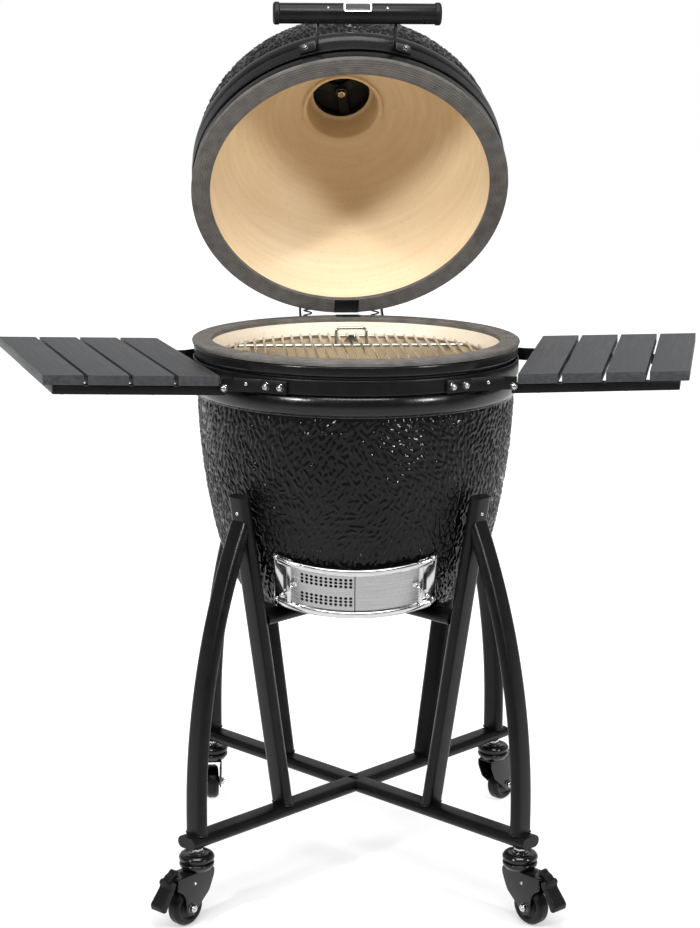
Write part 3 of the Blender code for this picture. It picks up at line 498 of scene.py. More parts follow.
def plate_mesh(name, outline, low, high, bevel=0.0, segments=3):
    """A flat plate between two heights, its edges rounded."""
    shape = bmesh.new()
    bottom = [shape.verts.new((point[0], point[1], low)) for point in outline]
    top = [shape.verts.new((point[0], point[1], high)) for point in outline]
    count = len(outline)
    shape.faces.new(bottom[::-1])
    shape.faces.new(top)
    for index in range(count):
        follow = (index + 1) % count
        shape.faces.new((bottom[index], bottom[follow], top[follow], top[index]))
    bmesh.ops.recalc_face_normals(shape, faces=shape.faces)
    if bevel:
        edges = [edge for edge in shape.edges if edge.calc_face_angle(0.0) > math.radians(25)]
        bmesh.ops.bevel(
            shape, geom=edges, offset=bevel, segments=segments, profile=0.5, affect="EDGES",
            clamp_overlap=True,
        )
    return mesh_of(name, shape)


def plate(name, outline, low, high, surface, body, matrix=WORLD, bevel=0.0, segments=3, **facts):
    mesh = plate_mesh(name, outline, low, high, bevel, segments)
    return piece(name, mesh, surface, body, matrix, **facts)


def block(name, low, high, surface, body, matrix=WORLD, bevel=0.001, segments=3, **facts):
    outline = [(low[0], low[1]), (high[0], low[1]), (high[0], high[1]), (low[0], high[1])]
    return plate(name, outline, low[2], high[2], surface, body, matrix, bevel, segments, **facts)


def mirrored(outline, side):
    return [(side * point[0], point[1]) for point in outline][::side]


def merge(name, parts, body, matrix=WORLD, **facts):
    """Several (mesh, place, material) parts in one piece."""
    made = bpy.data.meshes.new(name)
    shape = bmesh.new()
    materials = []
    for mesh, place, material in parts:
        if material not in materials:
            materials.append(material)
        before = len(shape.faces)
        copy = mesh.copy()
        copy.transform(place)
        shape.from_mesh(copy)
        shape.faces.ensure_lookup_table()
        for face in shape.faces[before:]:
            face.material_index = materials.index(material)
    shape.to_mesh(made)
    shape.free()
    for material in materials:
        made.materials.append(material)
    return piece(name, made, None, body, matrix, **facts)


def facing(origin, direction, up=(0, 0, 1)):
    """A matrix at the origin whose +Z points along the direction."""
    z = Vector(direction).normalized()
    x = Vector(up).cross(z)
    if x.length < 1e-4:
        x = Vector((1, 0, 0)).cross(z)
    x.normalize()
    y = z.cross(x)
    turned_to = Matrix((x, y, z)).transposed().to_4x4()
    return Matrix.Translation(origin) @ turned_to


def domed_head(radius, height):
    """Button head along +Z with a recess."""
    arc = [
        (radius * math.cos(a), height * math.sin(a)) for a in [math.pi / 2 * step / 6 for step in range(6)]
    ]
    hollow = radius * 0.42
    tops = [(hollow, height * 0.93), (hollow * 0.95, height * 0.45), (0.0, height * 0.4)]
    return turned_mesh("head", [(radius * 0.98, -0.0006)] + arc + tops, 20)


def hex_nut(across, height):
    reach = across / 2 / math.cos(math.pi / 6)
    outline = [
        (reach * math.cos(a), reach * math.sin(a)) for a in [math.tau * step / 6 for step in range(6)]
    ]
    return plate_mesh("nut", outline, -0.0004, height, min(0.0006, height / 4), 2)


def washer(radius, thickness):
    corners = [(radius, thickness), (radius, -0.0003), (0.0, -0.0003), (0.0, thickness)]
    return turned_mesh("washer", ring(corners, thickness * 0.3, 2)[:-1], 24)


def bolt(name, origin, direction, body, matrix=WORLD, radius=0.0045, metal=ZINC, nut=False, rim=True):
    """A fastener seen from outside: a washer, a head or nut, and the end of its thread."""
    parts = []
    stand = 0.0
    if rim:
        parts.append((washer(radius * 1.25, 0.0009), WORLD, metal))
        stand = 0.0009
    if nut:
        parts.append((hex_nut(radius * 1.8, radius * 0.75), shift(0, 0, stand), metal))
        tip = turned_mesh(
            "tip", [(radius * 0.52, 0.0), (radius * 0.52, radius * 1.05), (radius * 0.40, radius * 1.2),
                    (0.0, radius * 1.2)], 14
        )
        parts.append((tip, shift(0, 0, stand), metal))
    else:
        parts.append((domed_head(radius, radius * 0.62), shift(0, 0, stand), metal))
    return merge(name, parts, body, matrix @ facing(origin, direction))


# ---- bowl, lid and their rims ----
def bowl_wall(height):
    top = RIM_Z - GASKET_T - LIP_H - GROOVE_H - BAND_H - BEAD_H - 0.0035
    depth = min(1.0, max(0.0, (top - height) / (top - BOWL_BASE_Z)))
    return BOWL_BASE_R + (WALL_R - BOWL_BASE_R) * (1.0 - depth ** 1.6) ** 0.5


def rim_outline(sign):
    """From the gasket seat outward and along the side: lip, groove, fat bead, start of the wall."""
    seat = GASKET_T + TOUCH
    lip = seat + LIP_H
    band = lip + GROOVE_H + BAND_H
    points = [(OPENING_R + 0.003, seat)]
    points += [tuple(p) for p in rounded(
        [(LIP_R - 0.01, seat), (LIP_R, seat), (LIP_R, lip - 0.001), (GROOVE_R - 0.002, lip + 0.0005),
         (GROOVE_R - 0.002, band - 0.001)], 0.0035, 5)]
    bulge = [
        (BEAD_R - 0.0100 + 0.0100 * math.sin(a) ** 0.8, BEAD_H / 2 * (1 - math.cos(a)))
        for a in [math.pi * step / 14 for step in range(1, 14)]
    ]
    points += [(radius, band + rise) for radius, rise in bulge]
    points += [(WALL_R - 0.0004, band + BEAD_H + 0.002)]
    return [(radius, RIM_Z + sign * rise) for radius, rise in points]


def stroke_field(length, width, seed):
    """Places, directions and sizes of short strokes scattered over a wrapped sheet."""
    rng = np.random.default_rng(seed)
    columns = int(length / STROKE_CELL)
    rows = int(width / STROKE_CELL)
    step_x, step_y = length / columns, width / rows
    col, row = np.meshgrid(np.arange(columns), np.arange(rows), indexing="ij")
    x = (col + 0.5 * (row % 2) + rng.uniform(-0.34, 0.34, col.shape)) * step_x
    y = (row + 0.5 + rng.uniform(-0.34, 0.34, col.shape)) * step_y
    swirl = (
        1.25 * np.sin(x * 23.0 + 1.3 * np.sin(y * 17.0) + seed)
        + 1.1 * np.cos(y * 29.0 + 1.7 * np.sin(x * 11.0))
    )
    angle = math.pi / 2 + swirl * 0.42 + rng.normal(0.0, 0.42, col.shape)
    half_long = rng.uniform(0.0060, 0.0100, col.shape)
    half_wide = rng.uniform(0.0020, 0.0028, col.shape)
    tall = rng.uniform(0.75, 1.15, col.shape)
    bend = rng.uniform(-22.0, 22.0, col.shape)
    return x, y, angle, half_long, half_wide, tall, bend


def relief(length, width, u, v, depth, seed):
    """Height of the stroke relief at sheet points (u along, v across)."""
    x, y, angle, half_long, half_wide, tall, bend = [
        part.ravel() for part in stroke_field(length, width, seed)
    ]
    raised = np.zeros(u.shape)
    step_u = u[1, 0] - u[0, 0]
    step_v = v[0, 1] - v[0, 0]
    reach_u = int(math.ceil(STROKE_REACH / step_u))
    reach_v = int(math.ceil(STROKE_REACH / abs(step_v)))
    count_u = u.shape[0]
    offsets = np.arange(-reach_u, reach_u + 1)
    for index in range(len(x)):
        ci = int(round(x[index] / step_u))
        cj = int(round((y[index] - v[0, 0]) / step_v))
        j0, j1 = max(0, cj - reach_v), min(u.shape[1], cj + reach_v + 1)
        if j0 >= j1:
            continue
        ii = (ci + offsets) % count_u
        du = (ci + offsets) * step_u - x[index]
        dv = v[0, j0:j1] - y[index]
        a, b = math.cos(angle[index]), math.sin(angle[index])
        s = du[:, None] * a + dv[None, :] * b
        t = -du[:, None] * b + dv[None, :] * a + bend[index] * s * s
        far = (s / half_long[index]) ** 2 + (t / half_wide[index]) ** 2
        bump_here = tall[index] * np.clip(1.0 - far, 0.0, 1.0) ** 0.75
        patch = raised[np.ix_(ii, np.arange(j0, j1))]
        raised[np.ix_(ii, np.arange(j0, j1))] = np.maximum(patch, bump_here)
    return raised * depth


def relief_mesh(name, profile, seed, columns=RELIEF_COLUMNS, fade=0.006):
    """A turned wall covered with raised strokes that fade out at both ends."""
    radius = np.array([point[0] for point in profile])
    height = np.array([point[1] for point in profile])
    run = np.concatenate([[0.0], np.cumsum(np.hypot(np.diff(radius), np.diff(height)))])
    rows = int(run[-1] / RELIEF_ROW)
    v_line = np.linspace(0.0, run[-1], rows)
    r_line = np.interp(v_line, run, radius)
    z_line = np.interp(v_line, run, height)
    slope_r = np.gradient(r_line, v_line)
    slope_z = np.gradient(z_line, v_line)
    norm = np.hypot(slope_r, slope_z)
    out_r, out_z = -slope_z / norm, slope_r / norm
    if out_r.mean() < 0:
        out_r, out_z = -out_r, -out_z
    length = math.tau * radius.max()
    u_line = np.arange(columns) * length / columns
    u, v = np.meshgrid(u_line, v_line, indexing="ij")
    raised = relief(length, run[-1], u, v, STROKE_DEPTH, seed)
    edge = np.clip(v_line / fade, 0, 1) * np.clip((run[-1] - v_line) / fade, 0, 1)
    raised *= edge[None, :]
    angle = u_line / length * math.tau
    r_all = r_line[None, :] + raised * out_r[None, :]
    z_all = z_line[None, :] + raised * out_z[None, :]
    co = np.stack([np.cos(angle)[:, None] * r_all, np.sin(angle)[:, None] * r_all, z_all], -1)
    shape = bmesh.new()
    shape.from_mesh(wrapped_mesh(name, co))
    return mesh_of(name, shape)


def make_bowl():
    outline = rim_outline(-1)
    start = outline[-1][1]
    wall = [
        (bowl_wall(z), z)
        for z in [start - (start - BOWL_BASE_Z) * (step / 60) ** 0.8 for step in range(1, 61)]
    ]
    relief_piece = relief_mesh("bowl_relief", [outline[-1]] + wall, 11)
    piece("bowl_wall", relief_piece, GLAZE, BASE, slot="black_glaze", smooth=180.0)
    rim = turned(
        "bowl_rim", outline, RIM_GLAZE, BASE, stands_for=("bowl_shell",), slot="black_glaze", smooth=50.0
    )
    foot = [(BOWL_BASE_R, BOWL_BASE_Z + 0.0002), (BOWL_BASE_R - 0.006, BOWL_BASE_Z), (0.0, BOWL_BASE_Z)]
    turned("bowl_foot", foot, GLAZE, BASE, slot="black_glaze")
    inside = [(OPENING_R + 0.004, RIM_Z - GASKET_T - TOUCH)]
    inside += [tuple(p) for p in rounded(
        [(OPENING_R, RIM_Z - GASKET_T - 0.0004), (OPENING_R, RIM_Z - 0.06), (0.226, 0.80), (0.212, 0.66),
         (0.170, 0.545), (0.150, BOWL_BASE_Z + WALL_T), (0.0, BOWL_BASE_Z + WALL_T)], 0.02, 5)]
    # The bowl's inside takes the lighter copy of the cream: painted light.
    turned("bowl_inside", inside, LIT_CREAM, BASE, slot="cream_ceramic")
    return rim


def gasket(name, low, high, body, matrix, node):
    """A ribbed flat braid, a little rounder and proud at its edges."""
    steps = 26
    width = RING_R - OPENING_R
    face = []
    for step in range(steps + 1):
        t = step / steps
        rib = 0.00035 * math.sin(t * width / 0.0046 * math.tau)
        crown = 0.0012 * (1 - (2 * t - 1) ** 6)
        face.append((OPENING_R + width * t, crown + rib))
    top_side = node.startswith("bowl")
    profile = [(radius, high - 0.0020 + rise if top_side else low + 0.0020 - rise) for radius, rise in face]
    back = low if top_side else high
    profile += [(RING_R + 0.0006, (low + high) / 2), (RING_R - 0.001, back), (OPENING_R, back)]
    turned(name, profile + [profile[0]], WEAVE, body, matrix, stands_for=(node,), slot="woven_gasket",
           smooth=60.0, segments=192)
    low_z, high_z = (low - 0.001, high - 0.0001) if top_side else (low + 0.0001, high + 0.001)
    block(name + "_joint", (-0.018, OPENING_R + 0.0006, low_z),
          (0.026, RING_R - 0.0012, high_z), CAP_PLASTIC, body, matrix, 0.0015,
          slot="woven_gasket")


def band(name, low, body, matrix, node):
    """Thin steel strap with folded edges that clamps the rim."""
    inner = BAND_R - 0.0024
    high = low + BAND_H - 0.001
    profile = rounded(
        [(inner, high), (BAND_R - 0.0006, high), (BAND_R, high - 0.002), (BAND_R, low + 0.002),
         (BAND_R - 0.0006, low), (inner, low)], 0.0012, 3, closed=True)
    points = [tuple(p) for p in profile]
    turned(name, points + [points[0]], BAND_BLACK, body, matrix, stands_for=(node,),
           slot="black_powder_coat")


def make_lid():
    outline = rim_outline(1)
    base = outline[-1][1]
    top = base + LID_DOME_H * 0.96
    dome = []
    for step in range(1, 61):
        height = base + (top - base) * math.sin(math.pi / 2 * step / 60)
        rise = (height - base) / LID_DOME_H
        dome.append((WALL_R * math.sqrt(max(0.0, 1.0 - rise * rise)), height))
    relief_piece = relief_mesh("lid_relief", [outline[-1]] + dome, 23)
    piece("lid_dome", relief_piece, GLAZE, "lid", LID, slot="black_glaze", smooth=180.0)
    turned("lid_rim", outline, RIM_GLAZE, "lid", LID, stands_for=("lid_shell",), slot="black_glaze",
           smooth=50.0)
    seat = rounded([dome[-1], (NECK_R + 0.002, top + 0.001), (NECK_R, top + NECK_H),
                    (CHIMNEY_R, top + NECK_H)], 0.004, 4)
    turned("lid_neck", seat, RIM_GLAZE, "lid", LID, slot="black_glaze")
    top += NECK_H
    inner = []
    inner_height = 0.2555
    for step in range(49):
        rise = 0.978 * math.sin(math.pi / 2 * step / 48)
        radius = OPENING_R * (1.0 - rise ** 2.3) ** (1 / 2.3)
        inner.append((radius, RIM_Z + inner_height * rise))
    inner = [point for point in inner if point[0] > FLUE_MOUTH_R + 0.004]
    inner[0] = (OPENING_R, RIM_Z + GASKET_T + 0.0004)
    neck = RIM_Z + inner_height * 0.985
    inner = [(OPENING_R + 0.004, RIM_Z + GASKET_T + TOUCH)] + inner + [
        tuple(p) for p in rounded(
            [(FLUE_MOUTH_R + 0.006, neck - 0.009), (FLUE_MOUTH_R - 0.001, neck - 0.006),
             (CHIMNEY_R + 0.006, top - 0.004), (CHIMNEY_R, top)], 0.004, 4)
    ]
    turned("lid_inside", inner, CREAM, "lid", LID, slot="cream_ceramic", smooth=60.0)
    gasket("lid_gasket_braid", RIM_Z + TOUCH, RIM_Z + GASKET_T, "lid", LID, "lid_gasket")
    low = LID_BAND_Z + 0.0005
    band("lid_strap", low, "lid", LID, "lid_band")
    make_vent(top)
    make_thermometer(base)
    make_handle(low + BAND_H / 2)


def make_vent(top):
    """A three-spoked casting on the neck, and the cap that turns on it."""
    low = top + TOUCH
    collar = ring(
        [(0.071, low + 0.016), (0.074, low + 0.004), (0.074, low), (0.049, low), (0.049, low + 0.016)],
        0.0012, 3)
    parts = [(turned_mesh("collar", collar, 96), WORLD, CAST)]
    for index in range(3):
        outline = [(0.004, -0.0105), (0.028, -0.0085), (0.051, -0.0100), (0.051, 0.0100),
                   (0.028, 0.0085), (0.004, 0.0105)]
        spoke = plate_mesh("spoke", outline, low + 0.006, low + 0.012, 0.0015)
        parts.append((spoke, turn(120.0 * index + SPOKE_TURN), CAST))
    hub = turned_mesh("hub", ring(
        [(0.0, low + 0.0155), (0.0105, low + 0.0155), (0.0115, low), (0.0, low)], 0.001, 2)[:-1], 40)
    parts.append((hub, WORLD, CAST))
    merge("vent_collar", parts, "lid", LID, stands_for=("vent_base",), slot="cast_iron")
    bolt("vent_screw", (0, 0, low), (0, 0, -1), "lid", LID, 0.0068, BRASS, nut=True)
    cap_low = low + 0.016 + TOUCH
    profile = rounded(
        [(0.0, cap_low + 0.030), (0.011, cap_low + 0.030), (0.016, cap_low + 0.018),
         (0.060, cap_low + 0.014), (0.073, cap_low + 0.006), (0.073, cap_low), (0.0, cap_low)], 0.002, 4)
    cap = piece("vent_cap_casting", turned_mesh("cap", profile, 96), CAST, "vent_cap_body", LID,
                stands_for=("vent_cap",), slot="cast_iron")
    drill = bmesh.new()
    for index in range(3):
        spot = turn(120.0 * index + SPOKE_TURN) @ shift(0.036, 0, cap_low + 0.012)
        bmesh.ops.create_cone(drill, cap_ends=True, segments=40, radius1=0.008, radius2=0.008, depth=0.06,
                              matrix=spot)
    subtract(cap, mesh_of("ports", drill), LID)


def subtract(target, mesh, matrix):
    """Cut a mesh out of a piece for good."""
    cutter = bpy.data.objects.new("cutter", mesh)
    bpy.context.scene.collection.objects.link(cutter)
    cutter.matrix_world = matrix
    change = target.modifiers.new("cut", "BOOLEAN")
    change.operation = "DIFFERENCE"
    change.solver = "EXACT"
    change.object = cutter
    bpy.context.view_layer.update()
    evaluated = target.evaluated_get(bpy.context.evaluated_depsgraph_get())
    mesh = bpy.data.meshes.new_from_object(evaluated)
    target.modifiers.clear()
    target.data = mesh
    mesh.shade_smooth()
    mesh.set_sharp_from_angle(angle=math.radians(35))
    bpy.data.objects.remove(cutter, do_unlink=True)
    return target


def make_thermometer(base):
    height = base + 0.072
    slope = math.radians(32.0)
    out = Vector((0, -math.cos(slope), math.sin(slope)))
    rise = (height - base) / LID_DOME_H
    spot = Vector((0, -WALL_R * math.sqrt(1 - rise * rise), height))
    place = LID @ facing(spot, out)
    bezel = rounded(
        [(0.0, 0.0035), (0.029, 0.0035), (0.029, 0.0145), (0.0265, 0.0155), (0.0255, 0.0135), (0.0, 0.0132)],
        0.0012, 3)
    parts = [
        (turned_mesh("bezel", bezel, 72), WORLD, POLISHED),
        (turned_mesh("probe", [(0.0, -0.075), (0.0036, -0.074), (0.0045, -0.070), (0.0045, 0.004)], 20),
         WORLD, BRUSHED),
        (turned_mesh("dial", [(0.0, 0.0137), (0.0252, 0.0137)], 60), WORLD, DIAL),
    ]
    for index in range(19):
        angle = math.radians(-135 + index * 15)
        long = 0.0042 if index % 3 == 0 else 0.0024
        tick = plate_mesh("tick", [(-0.00035, 0.0235 - long), (0.00035, 0.0235 - long),
                                   (0.00035, 0.0235), (-0.00035, 0.0235)], 0.0137, 0.0139)
        parts.append((tick, turn(-math.degrees(angle)), GLOSS))
    needle = plate_mesh("needle", [(-0.0009, -0.005), (0.0009, -0.005), (0.0002, 0.019), (-0.0002, 0.019)],
                        0.0139, 0.0142)
    parts.append((needle, turn(130.0), NEEDLE))
    merge("thermometer_dial", parts, "lid", place, stands_for=("thermometer",), slot="stainless")


def tangent_point(degrees, radius):
    angle = math.radians(degrees)
    spot = Vector((radius * math.sin(angle), -radius * math.cos(angle), 0))
    return spot, Vector((math.cos(angle), math.sin(angle), 0))


def strip_outline(points, thickness, radius):
    """Outline of a bent strip with rounded bends."""
    line = rounded([Vector((p[0], p[1], 0)) for p in points], radius, 6)
    sides = ([], [])
    for index, point in enumerate(line):
        before = line[max(0, index - 1)]
        after = line[min(len(line) - 1, index + 1)]
        way = (after - before).normalized()
        normal = Vector((-way.y, way.x, 0))
        for side, sign in zip(sides, (1, -1)):
            side.append(point + normal * sign * thickness / 2)
    return sides[0] + sides[1][::-1]


def make_handle(band_z):
    grip_y = -BAND_R - 0.0577
    half = 0.1357
    grip_r = 0.0165
    cap_r = 0.0182
    place = LID @ shift(0, grip_y, band_z) @ turn(90, "Y")
    bar = rounded(
        [(0.0, half - 0.004), (grip_r, half - 0.004), (grip_r, -half + 0.004), (0.0, -half + 0.004)],
        0.0008, 2)
    parts = [(turned_mesh("grip", bar, 64), WORLD, HANDLE)]
    for side in (-1, 1):
        cap = rounded(
            [(0.0, half), (cap_r - 0.003, half), (cap_r, half - 0.0025), (cap_r, half - 0.0095),
             (grip_r, half - 0.0105), (grip_r - 0.001, half - 0.012)], 0.0018, 4)
        parts.append((turned_mesh("cap", cap, 64), WORLD if side > 0 else turn(180, "X"), CAP_PLASTIC))
    merge("handle_tube", parts, "lid", place, stands_for=("handle_grip",), slot="black_gloss_steel")
    plate_t = 0.004
    arm_x = 0.0632
    foot, way = tangent_point(16.0, BAND_R + TOUCH + plate_t / 2 + 0.0006)
    start = foot + way * 0.016
    knee = foot - way * ((foot.x - arm_x) / way.x)
    for side, name in ((-1, "left"), (1, "right")):
        outline = strip_outline([start, knee, (arm_x, grip_y + grip_r + 0.0004)], plate_t, 0.007)
        plate(f"handle_bracket_{name}", mirrored(outline, side), band_z - 0.011, band_z + 0.011, GLOSS,
              "lid", LID, 0.0006, 2, stands_for=(f"handle_arm_{name}",), slot="black_gloss_steel")
        spot = Vector((side * foot.x, foot.y, band_z)) + Vector((side * way.x, way.y, 0)) * 0.007
        out = Vector((side * math.sin(math.radians(16)), -math.cos(math.radians(16)), 0))
        bolt(f"handle_bolt_{name}", spot + out * plate_t / 2, out, "lid", LID, 0.0042, nut=True)
        tilt = math.radians(24)
        screw_out = Vector((0, -math.cos(tilt), -math.sin(tilt)))
        spot = Vector((side * 0.0475, grip_y, band_z)) + screw_out * (grip_r - 0.0004)
        bolt(f"grip_screw_{name}", spot, screw_out, "lid", LID, 0.0026, rim=False)
    corners = [(-0.020, -0.007), (0.020, -0.007), (0.020, 0.007), (-0.020, 0.007)]
    out = Vector((0, -math.cos(tilt), -math.sin(tilt)))
    badge_place = LID @ facing(Vector((0, grip_y, band_z)) + out * (grip_r + 0.0014), out)
    badge = [
        (plate_mesh("back", rounded([(x * 1.15, y * 1.143, 0) for x, y in corners], 0.004, 5, True),
                    -0.0014, 0.0006, 0.0004, 2), WORLD, POLISHED),
        (plate_mesh("face", rounded([(x, y, 0) for x, y in corners], 0.003, 5, True), 0.0, 0.0010,
                    0.0003, 2), WORLD, GLOSS),
    ]
    merge("handle_plate", badge, "lid", badge_place, stands_for=("handle_badge",), slot="stainless")


# ---- fire side ----
def make_fire_parts():
    for node in ("fire_box", "heat_deflector"):
        # The fire box and deflector take the darker copy of the cream: painted shade.
        dress(node, SHADED_CREAM)
    dress("charcoal_grate", CAST)
    profile = ring(
        [(0.226, 0.8797), (0.214, 0.790), (0.200, 0.7003), (0.172, 0.7003),
         (0.180, 0.790), (0.180, 0.830), (0.197, 0.830), (0.204, 0.8797)], 0.003, 3)
    # The fire ring also takes the darker, shade-painted copy of the cream.
    turned("fire_ring_cast", profile, SHADED_CREAM, BASE, stands_for=("fire_ring",), slot="cream_ceramic")


def dress(node, surface):
    """A CAD node keeps its shape and gets a finished material."""
    target = frame["nodes"][node]
    for index in range(max(1, len(target.material_slots))):
        target.material_slots[index].material = surface


def make_grid():
    shape = bmesh.new()
    for index in range(-13, 14):
        x = index * BAR_PITCH
        reach = math.sqrt(GRID_R ** 2 - x ** 2) - 0.0035
        add_tube(shape, [(x, -reach, GRID_Z), (x, reach, GRID_Z)], 0.0023, 10)
    circle = [(0.222 * math.cos(a), 0.222 * math.sin(a), GRID_Z - 0.0042)
              for a in [math.tau * step / 120 for step in range(120)]]
    add_tube(shape, circle, 0.0030, 10, True)
    for y in (-0.110, 0.110):
        reach = math.sqrt(0.222 ** 2 - y ** 2)
        add_tube(shape, [(-reach, y, GRID_Z - 0.0042), (reach, y, GRID_Z - 0.0042)], 0.0030, 10)
    half, tall, y = 0.0262, 0.0258, 0.110
    loop = rounded(
        [(-half, y, GRID_Z - 0.004), (-half, y, GRID_Z + tall), (half, y, GRID_Z + tall),
         (half, y, GRID_Z - 0.004)], 0.009, 6)
    add_tube(shape, loop, 0.0024, 12)
    piece("grid_weldment", mesh_of("grid", shape), GRID_STEEL, "grid", BANDS,
          stands_for=("cooking_grid",), slot="stainless")
    lug = [(-0.013, 0.0), (0.013, 0.0), (0.0045, 0.013), (-0.0045, 0.013)]
    place = BANDS @ shift(0, y, GRID_Z + 0.001) @ turn(90, "X")
    plate("grid_lug", lug, -0.001, 0.001, GRID_STEEL, "grid", place, 0.0004, 2, slot="stainless")


# ---- draft door ----
def arc_shell(name, inset, thickness, low, high, first, last, steps=48, bevel=0.0003, segments=2):
    """A curved plate of the door: plan arc, heights along the leaning axis."""
    turns = [math.radians(first + (last - first) * step / steps) for step in range(steps + 1)]
    near = DOOR_R + inset
    far = near + thickness
    outline = [(near * math.sin(a), -near * math.cos(a)) for a in turns]
    outline += [(far * math.sin(a), -far * math.cos(a)) for a in turns[::-1]]
    return plate_mesh(name, outline, low, high, bevel, segments)


def make_door():
    half = DOOR_HALF_ANGLE
    parts = []
    for low, high in ((-0.003, 0.0085), (DOOR_H - 0.0115, DOOR_H)):
        parts.append((arc_shell("rail", 0.0, 0.0080, low, high, 2.5 - half, half - 2.5, 64, 0.0033, 5),
                      WORLD, POLISHED))
    for side in (-1, 1):
        a0, a1 = sorted((side * half, side * (half - 8.5)))
        parts.append((arc_shell("end", 0.0, 0.0016, 0.0, DOOR_H, a0, a1, 8), WORLD, POLISHED))
        a0, a1 = sorted((side * (half - 7.0), side * (half - 9.0)))
        parts.append((arc_shell("post", 0.001, 0.0050, 0.004, DOOR_H - 0.006, a0, a1, 6, 0.0012, 3),
                      WORLD, POLISHED))
    merge("door_surround", parts, BASE, DOOR, stands_for=("door_frame",), slot="stainless")
    for side, name in ((-1, "left"), (1, "right")):
        for height, place in ((0.0028, "low"), (DOOR_H - 0.0055, "high")):
            angle = math.radians(side * (half - 1.3))
            out = Vector((math.sin(angle), -math.cos(angle), 0))
            bolt(f"door_bolt_{name}_{place}", out * (DOOR_R + 0.0016) + Vector((0, 0, height)), out, BASE,
                 DOOR, 0.0040)
        angle = math.radians(side * (half - 5.8))
        out = Vector((math.sin(angle), -math.cos(angle), 0))
        clip = plate_mesh("clip", [(-0.004, -0.016), (0.004, -0.016), (0.004, 0.016), (-0.004, 0.016)],
                          0.0, 0.0003)
        piece(f"door_slot_{name}", clip, GLOSS, BASE,
              DOOR @ facing(out * (DOOR_R + 0.0013) + Vector((0, 0, DOOR_H / 2)), out), slot="stainless")
    low, high = 0.008, DOOR_H - 0.011
    for side, name, body in ((-1, "perforated", "slider_perforated"), (1, "plain", "slider_plain")):
        a0, a1 = sorted((side * 0.2, side * (half - 9.0)))
        metal = arc_shell("slider", 0.0018, 0.0012, low, high, a0, a1, 60, 0.0)
        slider = piece(f"door_plate_{name}", metal, BRUSHED, body, DOOR,
                       stands_for=(f"door_slider_{name}",), slot="stainless")
        if side < 0:
            holes = bmesh.new()
            pitch = 0.0066
            for column in range(11):
                angle = math.radians(-1.7 - column * 2.05)
                out = Vector((math.sin(angle), -math.cos(angle), 0.0))
                for row in (-3.7, -2.7, -1.7, 1.7, 2.7, 3.7):
                    centre = out * (DOOR_R + 0.0022) + Vector((0, 0, DOOR_H / 2 + row * pitch))
                    bmesh.ops.create_cone(holes, cap_ends=True, segments=18, radius1=0.0027,
                                          radius2=0.0027, depth=0.008, matrix=facing(centre, out))
            subtract(slider, mesh_of("holes", holes), DOOR)
        angle = math.radians(side * (half - 10.2))
        out = Vector((math.sin(angle), -math.cos(angle), 0.0))
        foot = out * (DOOR_R + 0.0030) + Vector((0, 0, DOOR_H * 0.52))
        tip = foot + out * 0.0185 + Vector((side * 0.010, 0, -0.010))
        stem = bmesh.new()
        add_tube(stem, rounded([foot, foot + out * 0.008, tip], 0.006, 6), 0.0019, 14)
        ball = [(0.0048 * math.sin(a), -0.0048 * math.cos(a))
                for a in [math.pi * step / 16 for step in range(17)]]
        flange = [(0.0055, 0.0), (0.0055, 0.0008), (0.0040, 0.0018), (0.0, 0.0020)]
        merge(f"door_knob_{name}", [
            (mesh_of("stem", stem), WORLD, POLISHED),
            (turned_mesh("ball", ball, 24), Matrix.Translation(tip), POLISHED),
            (turned_mesh("flange", flange, 24), facing(foot, out), POLISHED),
        ], body, DOOR, slot="stainless")


